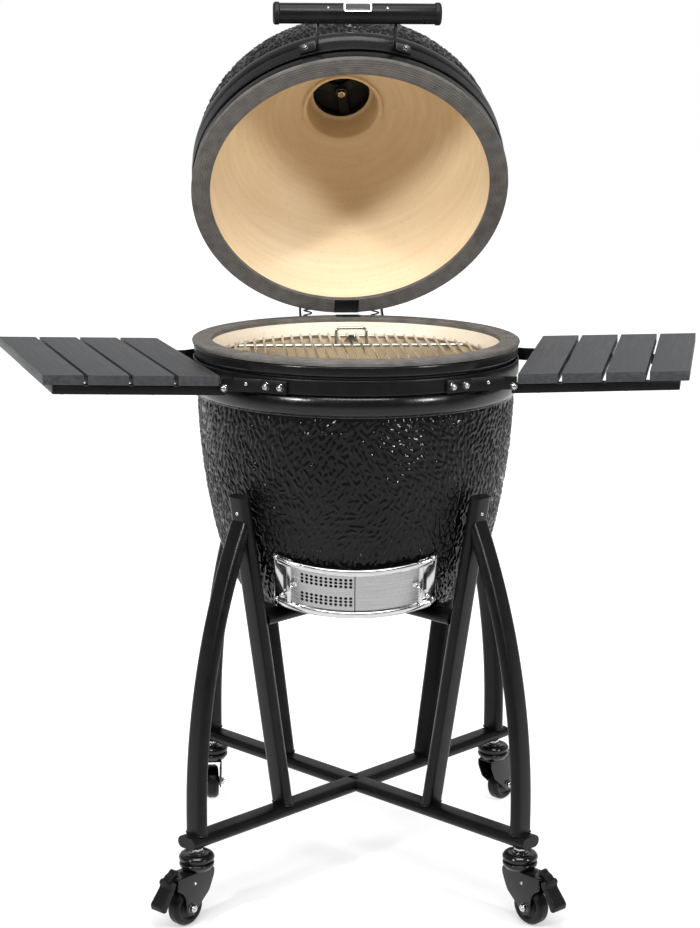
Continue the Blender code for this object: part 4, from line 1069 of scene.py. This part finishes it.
# ---- hinge ----
def make_hinge():
    cheek_x = 0.0805
    back = math.sqrt(BAND_R ** 2 - cheek_x ** 2)
    side_shift = shift(HINGE.x, 0, 0)
    low, middle = BOWL_BAND_Z, BOWL_BAND_Z + BAND_H / 2
    cheek = [
        (back + 0.003, low - 0.004), (HINGE.y + 0.022, low - 0.056), (HINGE.y + 0.032, low - 0.050),
        (HINGE.y + 0.012, HINGE.z + 0.002), (HINGE.y + 0.004, HINGE.z + 0.011),
        (HINGE.y - 0.006, HINGE.z + 0.010), (back + 0.003, low + BAND_H - 0.002),
    ]
    cheek = rounded([(y, z, 0) for y, z in cheek], 0.006, 4, True)
    parts = []
    for side in (-1, 1):
        place = side_shift @ shift(side * cheek_x, 0, 0) @ SIDE_ON
        parts.append((plate_mesh("cheek", cheek, -0.0025, 0.0025, 0.0008, 2), place, POWDER))
        foot = strip_outline(
            [(side * (cheek_x - 0.002), back + 0.0045), (side * (cheek_x + 0.024), back - 0.0045)], 0.003,
            0.002)
        foot_mesh = plate_mesh("foot", foot[::side], middle - 0.010, middle + 0.010, 0.0006, 2)
        parts.append((foot_mesh, side_shift, POWDER))
    shelf = [(-cheek_x, HINGE.y + 0.019), (cheek_x, HINGE.y + 0.019), (cheek_x, HINGE.y + 0.030),
             (-cheek_x, HINGE.y + 0.030)]
    parts.append((plate_mesh("shelf", shelf, low - 0.056, low - 0.051, 0.0008, 2), side_shift, POWDER))
    pin = [(0.0, -cheek_x - 0.004), (0.0065, -cheek_x - 0.003), (0.0065, -cheek_x), (0.005, -cheek_x),
           (0.005, cheek_x), (0.0065, cheek_x), (0.0065, cheek_x + 0.003), (0.0, cheek_x + 0.004)]
    parts.append((turned_mesh("pin", pin, 32), shift(HINGE.x, HINGE.y, HINGE.z) @ turn(90, "Y"), ZINC))
    merge("hinge_bracket", parts, BASE, BANDS, stands_for=("hinge_lower",), slot="black_powder_coat")
    for side in (-1, 1):
        angle = math.radians(180 - side * math.degrees(math.asin((cheek_x + 0.014) / BAND_R)))
        out = Vector((math.sin(angle), -math.cos(angle), 0))
        spot = Vector((HINGE.x, 0, middle)) + out * (BAND_R + 0.0045)
        bolt(f"hinge_bolt_{'left' if side < 0 else 'right'}", spot, out, BASE, BANDS, 0.0045, nut=True)
    arm_x = cheek_x - 0.0066
    back = math.sqrt(BAND_R ** 2 - arm_x ** 2)
    outline = [
        (HINGE.y - 0.0125, HINGE.z + 0.007), (HINGE.y + 0.0075, HINGE.z + 0.0075),
        (HINGE.y + 0.011, HINGE.z + 0.050), (HINGE.y + 0.008, LID_BAND_Z + BAND_H),
        (back + 0.0028, LID_BAND_Z + BAND_H), (back + 0.0028, LID_BAND_Z - 0.003),
        (HINGE.y - 0.004, LID_BAND_Z - 0.012), (HINGE.y - 0.0095, HINGE.z + 0.016),
    ]
    outline = rounded([(y, z, 0) for y, z in outline], 0.005, 4, True)
    parts = []
    for side in (-1, 1):
        place = side_shift @ shift(side * arm_x, 0, 0) @ SIDE_ON
        parts.append((plate_mesh("arm", outline, -0.00175, 0.00175, 0.0006, 2), place, POWDER))
    tie = [(-arm_x, HINGE.y - 0.001), (arm_x, HINGE.y - 0.001), (arm_x, HINGE.y + 0.003),
           (-arm_x, HINGE.y + 0.003)]
    parts.append((plate_mesh("tie", tie, LID_BAND_Z + 0.004, LID_BAND_Z + BAND_H - 0.003, 0.0006, 2),
                  side_shift, POWDER))
    merge("hinge_yoke", parts, "lid", LID, stands_for=("hinge_upper",), slot="black_powder_coat")
    for side in (-1, 1):
        bolt(f"yoke_bolt_{'left' if side < 0 else 'right'}",
             (HINGE.x + side * 0.045, HINGE.y + 0.003, LID_BAND_Z + 0.013), (0, 1, 0), "lid", LID, 0.0045,
             nut=True)
    make_springs()


def make_springs():
    bottom = Vector((0, HINGE.y + 0.0245, BOWL_BAND_Z - 0.0505))
    top = Vector((0, HINGE.y + 0.0335, HINGE.z + 0.038))
    axis = top - bottom
    place = axis.to_track_quat("Z", "Y").to_matrix().to_4x4()
    for side, name in ((-1, "left"), (1, "right")):
        turns, around = 13, 20
        count = turns * around
        points = []
        for index in range(count + 1):
            angle = math.tau * index / around
            rise = 0.0015 + (axis.length - 0.003) * index / count
            points.append((0.0072 * math.cos(angle), 0.0072 * math.sin(angle), rise))
        spot = BANDS @ shift(HINGE.x + side * 0.0605, bottom.y, bottom.z) @ place
        made = tube(f"coil_{name}", points, 0.0014, GLOSS, BASE, spot, 8,
                    stands_for=(f"spring_{name}",), slot="spring_steel")
        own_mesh(made)


# ---- cart ----
def corner(degrees):
    return CART @ turn(degrees) @ UPRIGHT


def oval_tube(name, path, surface, body, matrix, width=TUBE_W, thick=TUBE_T, ends=(None, None), **facts):
    """A flat-oval tube along a path in the frame's XY plane; ends may be cut to a given direction."""
    shape = bmesh.new()
    section = []
    flat_half = width / 2 - thick / 2
    for step in range(13):
        a = -math.pi / 2 + math.pi * step / 12
        section.append((math.sin(a) * thick / 2, flat_half + math.cos(a) * thick / 2))
    for step in range(13):
        a = math.pi / 2 + math.pi * step / 12
        section.append((math.sin(a) * thick / 2, -flat_half + math.cos(a) * thick / 2))
    loops = []
    count = len(path)
    for index, spot in enumerate(path):
        spot = Vector((spot[0], spot[1], 0))
        before = Vector((*path[max(0, index - 1)][:2], 0))
        after = Vector((*path[min(count - 1, index + 1)][:2], 0))
        way = (after - before).normalized()
        normal = Vector((-way.y, way.x, 0))
        cut_way = ends[0] if index == 0 else ends[1] if index == count - 1 else None
        loop = []
        for across, wide in section:
            offset = normal * across
            if cut_way:
                line = Vector((cut_way[0], cut_way[1], 0)).normalized()
                offset = line * (across / line.dot(normal))
            loop.append(shape.verts.new(spot + offset + Vector((0, 0, wide))))
        loops.append(loop)
    size = len(section)
    for first, second in zip(loops, loops[1:]):
        for step in range(size):
            follow = (step + 1) % size
            shape.faces.new((first[step], first[follow], second[follow], second[step]))
    shape.faces.new(loops[0][::-1])
    shape.faces.new(loops[-1])
    return piece(name, mesh_of(name, shape), surface, body, matrix, smooth=50.0, **facts)


def post_radius(height):
    return POST_FOOT_R + POST_SLOPE * (height - RAIL_Z)


def make_cart():
    steps = 26
    centre = LEG_FOOT_R - LEG_BEND_R
    post_face = TUBE_T / 2 * math.sqrt(1 + POST_SLOPE ** 2) + TOUCH
    for name, degrees in CORNERS.items():
        place = corner(degrees)
        low = RAIL_Z + TOUCH
        oval_tube(f"post_tube_{name}", [(post_radius(low), low), (post_radius(POST_TOP_Z), POST_TOP_Z)],
                  POWDER, BASE, place, ends=((-1, 0), (-1, 0)), stands_for=(f"post_{name}",),
                  slot="black_powder_coat")
        height = LEG_STRAIGHT_Z
        while centre + math.sqrt(LEG_BEND_R ** 2 - (height - LEG_STRAIGHT_Z) ** 2) > (
            post_radius(height) + post_face
        ):
            height += 0.0005
        top = math.asin((height - LEG_STRAIGHT_Z) / LEG_BEND_R)
        path = [(LEG_FOOT_R, low)]
        path += [
            (centre + LEG_BEND_R * math.cos(a), LEG_STRAIGHT_Z + LEG_BEND_R * math.sin(a))
            for a in [top * step / steps for step in range(steps + 1)]
        ]
        oval_tube(f"leg_tube_{name}", path, POWDER, BASE, place,
                  ends=((-1, 0), (POST_SLOPE, 1.0)), stands_for=(f"leg_{name}",),
                  slot="black_powder_coat")
        make_post_head(name, place)
        foot = [(LEG_FOOT_R, low), (post_radius(low), low)]
        for index, spot in enumerate(foot):
            weld = bmesh.new()
            flat_half = TUBE_W / 2 - TUBE_T / 2
            line = []
            for step in range(24):
                a = math.tau * step / 24
                wide = flat_half if math.sin(a) >= 0 else -flat_half
                line.append((spot[0] + 0.0104 * math.cos(a), spot[1] + 0.0004,
                             wide + 0.0104 * math.sin(a)))
            add_tube(weld, line, 0.0012, 8, True)
            piece(f"weld_{name}_{index}", mesh_of("weld", weld), POWDER, BASE, place,
                  slot="black_powder_coat")
        seal = [(RAIL_END_R - 0.001, RAIL_Z - TUBE_T / 2), (RAIL_END_R + 0.0022, RAIL_Z - TUBE_T / 2)]
        oval_tube(f"rail_plug_{name}", seal, CAP_PLASTIC, BASE, place, TUBE_W * 0.985, TUBE_T * 0.97,
                  slot="black_powder_coat")
    for side, front, back in (("left", -135.0, 135.0), ("right", -45.0, 45.0)):
        for end, degrees, nodes in (("front", front, (f"rail_{side}",)), ("back", back, ())):
            oval_tube(
                f"rail_tube_{side}_{end}",
                [(0.0004, RAIL_Z - TUBE_T / 2), (RAIL_END_R, RAIL_Z - TUBE_T / 2)], POWDER, BASE,
                corner(degrees), stands_for=nodes, slot="black_powder_coat")
    low = CRADLE_Z - TUBE_T / 2
    reach = post_radius(low) - post_face - TOUCH
    for index, degrees in enumerate((45.0, 135.0)):
        oval_tube(f"cradle_tube_{index}", [(-reach, low), (reach, low)], POWDER, BASE, corner(degrees),
                  ends=((-POST_SLOPE, 1), (POST_SLOPE, 1)), slot="black_powder_coat",
                  stands_for=("bowl_cradle",) if index == 0 else ())


def make_post_head(name, place):
    """Plastic plug in the post's open top, and a screw below it."""
    lean = math.degrees(math.atan(POST_SLOPE))
    top = place @ shift(post_radius(POST_TOP_Z), POST_TOP_Z, 0) @ turn(-lean)
    oval_tube(f"post_plug_{name}", [(0, -0.004), (0, 0.0016)], CAP_PLASTIC, BASE, top, TUBE_W * 0.97,
              TUBE_T * 0.95, slot="black_powder_coat")
    out_x = TUBE_T / 2 * math.sqrt(1 + POST_SLOPE ** 2)
    height = POST_TOP_Z - 0.026
    spot = place @ Vector((post_radius(height) + out_x - 0.0004, height, 0.0))
    out = place.to_3x3() @ Vector((1.0, -POST_SLOPE, 0.0)).normalized()
    bolt(f"post_screw_{name}", spot, out, BASE, WORLD, 0.0034, rim=False)


# ---- casters ----
def make_caster(name, degrees):
    swivel = f"swivel_{name}"
    spot = shift(CASTER_R * math.cos(math.radians(degrees)), CASTER_R * math.sin(math.radians(degrees)), 0)
    place = CART @ spot @ turn(HEADINGS[name])
    stem_top = RAIL_Z - TUBE_T - TOUCH
    parts = []
    parts.append((turned_mesh("stem", [(0.0, stem_top), (0.006, stem_top), (0.006, 0.112)], 32), WORLD, ZINC))
    parts.append((washer(0.0125, 0.0014), shift(0, 0, 0.1135), ZINC))
    parts.append((hex_nut(0.0185, 0.0070), shift(0, 0, 0.1148), ZINC))
    upper = rounded(
        [(0.0, 0.1128), (0.0170, 0.1128), (0.0190, 0.1142), (0.0255, 0.1132), (0.0292, 0.1085),
         (0.0286, 0.1032), (0.0235, 0.1022), (0.0, 0.1022)], 0.0020, 4)
    parts.append((turned_mesh("upper_race", upper, 72), WORLD, GLOSS))
    parts.append((turned_mesh("race_gap", [(0.0240, 0.1030), (0.0240, 0.0995)], 48), WORLD, GLOSS))
    lower = rounded(
        [(0.0, 0.1002), (0.0245, 0.1002), (0.0284, 0.0985), (0.0284, 0.0942), (0.0250, 0.0895),
         (0.0235, 0.0872), (0.0, 0.0865)], 0.0020, 4)
    parts.append((turned_mesh("lower_race", lower, 72), WORLD, GLOSS))
    inside = WHEEL_W / 2 + 0.0020
    plate_t = 0.0025
    eye = [
        (CASTER_TRAIL + 0.0125 * math.cos(a), WHEEL_R + 0.0125 * math.sin(a))
        for a in [math.radians(-160 + 180 * step / 12) for step in range(13)]
    ]
    outline = [(-0.024, 0.0875), (-0.024, 0.076), (-0.012, 0.050)] + eye + [
        (0.041, 0.052), (0.047, 0.061), (FORK_FRONT_X, 0.067), (FORK_FRONT_X, 0.0875)
    ]
    outline = rounded([(x, y, 0) for x, y in outline], 0.0045, 5, True)
    for side in (-1, 1):
        standing = Matrix(((1, 0, 0, 0), (0, 0, -1, side * (inside + plate_t / 2)), (0, 1, 0, 0),
                           (0, 0, 0, 1)))
        parts.append((plate_mesh("fork", outline, -plate_t / 2, plate_t / 2, 0.0007, 3), standing, GLOSS))
    wide = inside + 0.001
    notch = 0.007 if name.startswith("front") else 0.0
    crown = [(-0.0235, -wide), (FORK_FRONT_X, -wide), (FORK_FRONT_X, -notch), (0.044, -notch),
             (0.044, notch), (FORK_FRONT_X, notch), (FORK_FRONT_X, wide), (-0.0235, wide)]
    if not notch:
        crown = crown[:2] + crown[6:]
    parts.append((plate_mesh("crown", crown, 0.0850, 0.0874, 0.0007, 3), WORLD, GLOSS))
    merge(f"fork_{name}", parts, swivel, place, stands_for=(f"caster_fork_{name}",),
          slot="black_gloss_steel")
    for side in (-1, 1):
        face = side * (inside + plate_t)
        label = "a" if side < 0 else "b"
        bolt(f"axle_{name}_{label}", (CASTER_TRAIL, face, WHEEL_R), (0, side, 0), swivel, place, 0.0062,
             nut=True)
        if name.startswith("front"):
            bolt(f"rivet_{name}_{label}", (0.0195, face, 0.0705), (0, side, 0), swivel, place, 0.0028,
                 rim=False)
    make_wheel(name, place, inside)
    if name.startswith("front"):
        make_pedal(name, place, inside)


def make_wheel(name, place, inside):
    half = WHEEL_W / 2
    hub = inside - TOUCH
    face = [(0.0, hub), (0.0085, hub), (0.0092, half - 0.0015), (0.0150, half - 0.0035),
            (0.0185, half - 0.0030), (0.0200, half - 0.0008), (0.0245, half), (0.0275, half - 0.0010),
            (WHEEL_R, half - 0.0055)]
    back = [(radius, -z) for radius, z in face[::-1]]
    profile = rounded(face + back, 0.0012, 3)
    axle = place @ shift(CASTER_TRAIL, 0, WHEEL_R) @ turn(90, "X")
    turned(f"wheel_tread_{name}", profile, RUBBER, f"wheel_{name}", axle, 72,
           stands_for=(f"caster_wheel_{name}",), slot="wheel_black")
    parts = []
    for side in (-1, 1):
        for index in range(5):
            rib = plate_mesh(
                "rib", [(0.0092, -0.0011), (0.0196, -0.0008), (0.0196, 0.0008), (0.0092, 0.0011)],
                side * (half - 0.0046) - 0.0012, side * (half - 0.0046) + 0.0012, 0.0004, 2)
            parts.append((rib, turn(72 * index), RUBBER))
    merge(f"wheel_ribs_{name}", parts, f"wheel_{name}", axle, slot="wheel_black")


def make_pedal(name, place, inside):
    half = inside - 0.0006
    side_on = place @ UPRIGHT
    tab = [(0.0490, 0.0905), (0.0480, 0.0985), (0.0525, 0.0990), (0.0570, 0.0945), (0.0640, 0.0925),
           (0.0700, 0.0860), (0.0700, 0.0740), (0.0595, 0.0760), (0.0595, 0.0885)]
    blade = [(0.0595, 0.0800), (0.0700, 0.0800), (0.0705, 0.0735), (0.0910, 0.0500), (0.0890, 0.0405),
             (0.0815, 0.0390), (0.0725, 0.0560), (0.0655, 0.0680), (0.0595, 0.0750)]
    tab, blade = [rounded([(x, y, 0) for x, y in line], 0.003, 4, True) for line in (tab, blade)]
    eye = turned_mesh("eye", rounded(
        [(0.0, -half - 0.0008), (0.0055, -half - 0.0008), (0.0055, half + 0.0008), (0.0, half + 0.0008)],
        0.001, 3), 28)
    parts = [
        (plate_mesh("tab", tab, -half * 0.55, half * 0.55, 0.0010, 3), WORLD, RUBBER),
        (plate_mesh("blade", blade, -half, half, 0.0014, 4), WORLD, RUBBER),
        (eye, shift(0.0650, 0.0800, 0), RUBBER),
    ]
    for index in range(4):
        spot = Vector((0.0745 + index * 0.0042, 0.0690 - index * 0.0049, 0))
        rib = bmesh.new()
        add_tube(rib, [spot + Vector((0, 0, -half + 0.002)), spot + Vector((0, 0, half - 0.002))],
                 0.0008, 8)
        parts.append((mesh_of("rib", rib), WORLD, RUBBER))
    merge(f"brake_{name}_lever", parts, f"brake_{name}", side_on,
          stands_for=(f"brake_pedal_{name}",), slot="wheel_black")


# ---- side tables ----
def table_place(side):
    skew = turn(-side * TABLE_SKEW)
    rise = turn(-side * TABLE_RISE, "Y")
    return BANDS @ shift(TABLE_X, 0, 0) @ shift(side * PIVOT.x, PIVOT.y, PIVOT.z) @ skew @ rise


def cross_line(start_y):
    return (start_y - PIVOT.y) / math.cos(math.radians(TABLE_SKEW))


def make_table(side, name):
    slope = math.tan(math.radians(TABLE_SKEW))
    place = table_place(side)
    body = f"table_{name}"
    top = TABLE_TOP_Z - PIVOT.z - 0.0004
    low = top - SLAT_T
    front, rear = cross_line(-SLAT_HALF_LENGTH), cross_line(SLAT_HALF_LENGTH)
    for index in range(4):
        near = SLAT_START + index * (SLAT_W + SLAT_GAP)
        far = near + SLAT_W
        outline = [(near, front + near * slope), (far, front + far * slope),
                   (far, rear + far * slope), (near, rear + near * slope)]
        outline = rounded([(x, y, 0) for x, y in outline], 0.0022, 3, True)
        plate(f"board_{name}_{index + 1}", mirrored(outline, side), low, top, SLAT, body, place, 0.0016, 4,
              stands_for=(f"slat_{name}_{index + 1}",), slot="black_slat")
        middle = (near + far) / 2
        for row, line in enumerate((-0.1955, 0.070)):
            spot = (side * middle, cross_line(line) + middle * slope, low - 0.0151)
            bolt(f"board_screw_{name}_{index + 1}_{row}", spot, (0, 0, -1), body, place, 0.0036,
                 rim=False)
    rail_h = 0.0148
    inner, outer = -0.004, 0.256
    tie_near = outer - 0.020
    front_low, front_high = cross_line(-0.2055), cross_line(-0.1855)
    back_low, back_high = cross_line(0.060), cross_line(0.080)
    high = low - TOUCH
    outline = [
        (inner, front_low + inner * slope), (outer, front_low + outer * slope),
        (outer, back_high + outer * slope), (inner, back_high + inner * slope),
        (inner, back_low + inner * slope), (tie_near, back_low + tie_near * slope),
        (tie_near, front_high + tie_near * slope), (inner, front_high + inner * slope),
    ]
    outline = rounded([(x, y, 0) for x, y in outline], 0.002, 2, True)
    plate(f"rails_{name}", mirrored(outline, side), high - rail_h, high, POWDER, body, place, 0.0014, 3,
          stands_for=(f"table_frame_{name}",), slot="black_powder_coat")
    make_brackets(side, name)


def make_brackets(side, name):
    skew = math.radians(TABLE_SKEW)
    across = Vector((math.cos(skew), -math.sin(skew), 0))
    along = Vector((math.sin(skew), math.cos(skew), 0))
    strap = 0.003
    for spot_name, degrees, tab in (("front", 32.0, -0.0086), ("back", 122.0, cross_line(0.080) + 0.0048)):
        seat, way = tangent_point(degrees, BAND_R + TOUCH + strap / 2 + 0.0009)
        if spot_name == "back":
            way = -way
        reach = Vector((PIVOT.x, PIVOT.y, 0)) + along * tab + Vector((side * TABLE_X, 0, 0))
        points = [seat - way * 0.024, seat + way * 0.025, reach - across * 0.014, reach + across * 0.0045]
        outline = strip_outline(points, strap, 0.004)
        plate(f"bracket_{name}_{spot_name}", mirrored(outline, side), BRACKET_Z - 0.0105, BRACKET_Z + 0.0105,
              POWDER, BASE, BANDS, 0.0006, 2, stands_for=(f"table_bracket_{name}_{spot_name}",),
              slot="black_powder_coat")
        out = Vector((side * seat.x, seat.y, 0)).normalized()
        along_way = Vector((side * way.x, way.y, 0))
        for index, step in enumerate((-0.013, 0.0125)):
            base = Vector((side * seat.x, seat.y, BRACKET_Z)) + along_way * step + out * strap / 2
            bolt(f"bracket_bolt_{name}_{spot_name}_{index}", base, out, BASE, BANDS, 0.0049, nut=True)
        end = -1 if spot_name == "front" else 1
        pivot_out = Vector((side * along.x, along.y, 0)) * end
        face = Vector((side * reach.x, reach.y, BRACKET_Z - 0.005)) + pivot_out * strap / 2
        bolt(f"bracket_pivot_{name}_{spot_name}", face, pivot_out, BASE, BANDS, 0.0048)
        knee = seat + way * 0.025
        mid = knee.lerp(reach - across * 0.014, 0.5)
        span = (reach - across * 0.014 - knee).normalized()
        normal = Vector((span.y, -span.x, 0)) if spot_name == "front" else Vector((-span.y, span.x, 0))
        normal = Vector((side * normal.x, normal.y, 0))
        spot = Vector((side * mid.x, mid.y, BRACKET_Z + 0.002)) + normal * strap / 2
        bolt(f"bracket_rivet_{name}_{spot_name}", spot, normal, BASE, BANDS, 0.0030, rim=False)


# ---- build everything ----
make_bowl()
gasket("bowl_gasket_braid", RIM_Z - GASKET_T, RIM_Z, BASE, BANDS, "bowl_gasket")
band("bowl_strap", BOWL_BAND_Z + 0.0005, BASE, BANDS, "bowl_band")
make_lid()
make_fire_parts()
make_grid()
make_door()
make_hinge()
make_cart()
for corner_name, corner_angle in CORNERS.items():
    make_caster(corner_name, corner_angle)
make_table(-1, "left")
make_table(1, "right")


# ---- stage ----
def area_light(name, spot, target, size, energy, size_y=None, colour=(1, 1, 1)):
    light = bpy.data.lights.new(name, "AREA")
    light.shape = "RECTANGLE"
    light.size = size
    light.size_y = size_y or size
    light.energy = energy
    light.color = colour
    made = bpy.data.objects.new(name, light)
    bpy.context.scene.collection.objects.link(made)
    made.matrix_world = facing(spot, Vector(spot) - Vector(target))
    return made


def make_stage():
    bpy.context.scene.view_settings.view_transform = "Standard"
    # Painted light: the floor glows, weakly in front and nearly fully behind the grill, so it reads white
    # there.
    floor_surface = Surface("floor_pale_glowing", (0.50, 0.50, 0.50), 0.60, Emission_Color=(1.0, 1.0, 1.0, 1.0))
    depth = floor_surface.node("ShaderNodeSeparateXYZ", {"Vector": floor_surface.place()}).outputs["Y"]
    floor_surface.drive("Emission Strength", floor_surface.remap(depth, 0.05, 0.95, -0.9, 0.6))
    floor_surface.drive("Roughness", floor_surface.remap(floor_surface.noise(3.0), 0.5, 0.65))
    mesh = bpy.data.meshes.new("floor")
    mesh.from_pydata([(-14, -10, 0), (14, -10, 0), (14, 18, 0), (-14, 18, 0)], [], [(0, 1, 2, 3)])
    mesh.materials.append(floor_surface.made)
    floor = bpy.data.objects.new("floor", mesh)
    bpy.context.scene.collection.objects.link(floor)
    world = bpy.data.worlds.new("studio")
    world.use_nodes = True
    nodes, links = world.node_tree.nodes, world.node_tree.links
    nodes["Background"].inputs["Color"].default_value = (1.0, 1.0, 1.0, 1.0)
    where = nodes.new("ShaderNodeTexCoord")
    split = nodes.new("ShaderNodeSeparateXYZ")
    links.new(where.outputs["Generated"], split.inputs["Vector"])
    glow = nodes.new("ShaderNodeMapRange")
    for socket, value in (("From Min", -0.4), ("From Max", 0.7), ("To Min", 0.04), ("To Max", 0.55)):
        glow.inputs[socket].default_value = value
    links.new(split.outputs["Y"], glow.inputs["Value"])
    seen = nodes.new("ShaderNodeLightPath")
    pick = nodes.new("ShaderNodeMix")
    links.new(seen.outputs["Is Camera Ray"], pick.inputs["Factor"])
    links.new(glow.outputs["Result"], pick.inputs["A"])
    pick.inputs["B"].default_value = 1.0
    links.new(pick.outputs["Result"], nodes["Background"].inputs["Strength"])
    bpy.context.scene.world = world
    area_light("key_left", (-2.2, -2.4, 2.3), (0, 0, 0.8), 0.32, 75, 0.5)
    area_light("key_right", (2.4, -2.0, 1.9), (0, 0, 0.8), 0.32, 50, 0.5)
    area_light("front_top", (0.0, -2.3, 3.5), (0, 0.1, 0.9), 2.4, 85, 1.0)
    area_light("overhead", (0.0, -0.9, 4.9), (0, 0.0, 0.0), 3.0, 110, 3.0)


def make_camera():
    camera = bpy.data.cameras.new("camera")
    camera.sensor_width = 36.0
    camera.lens = 81.08
    camera.clip_start = 0.1
    camera.clip_end = 100.0
    made = bpy.data.objects.new("camera", camera)
    bpy.context.scene.collection.objects.link(made)
    made.matrix_world = shift(-0.0088, -3.4295, 1.4115) @ turn(78.24, "X") @ turn(0.281, "Z")
    bpy.context.scene.camera = made


make_stage()
make_camera()
bpy.context.view_layer.update()
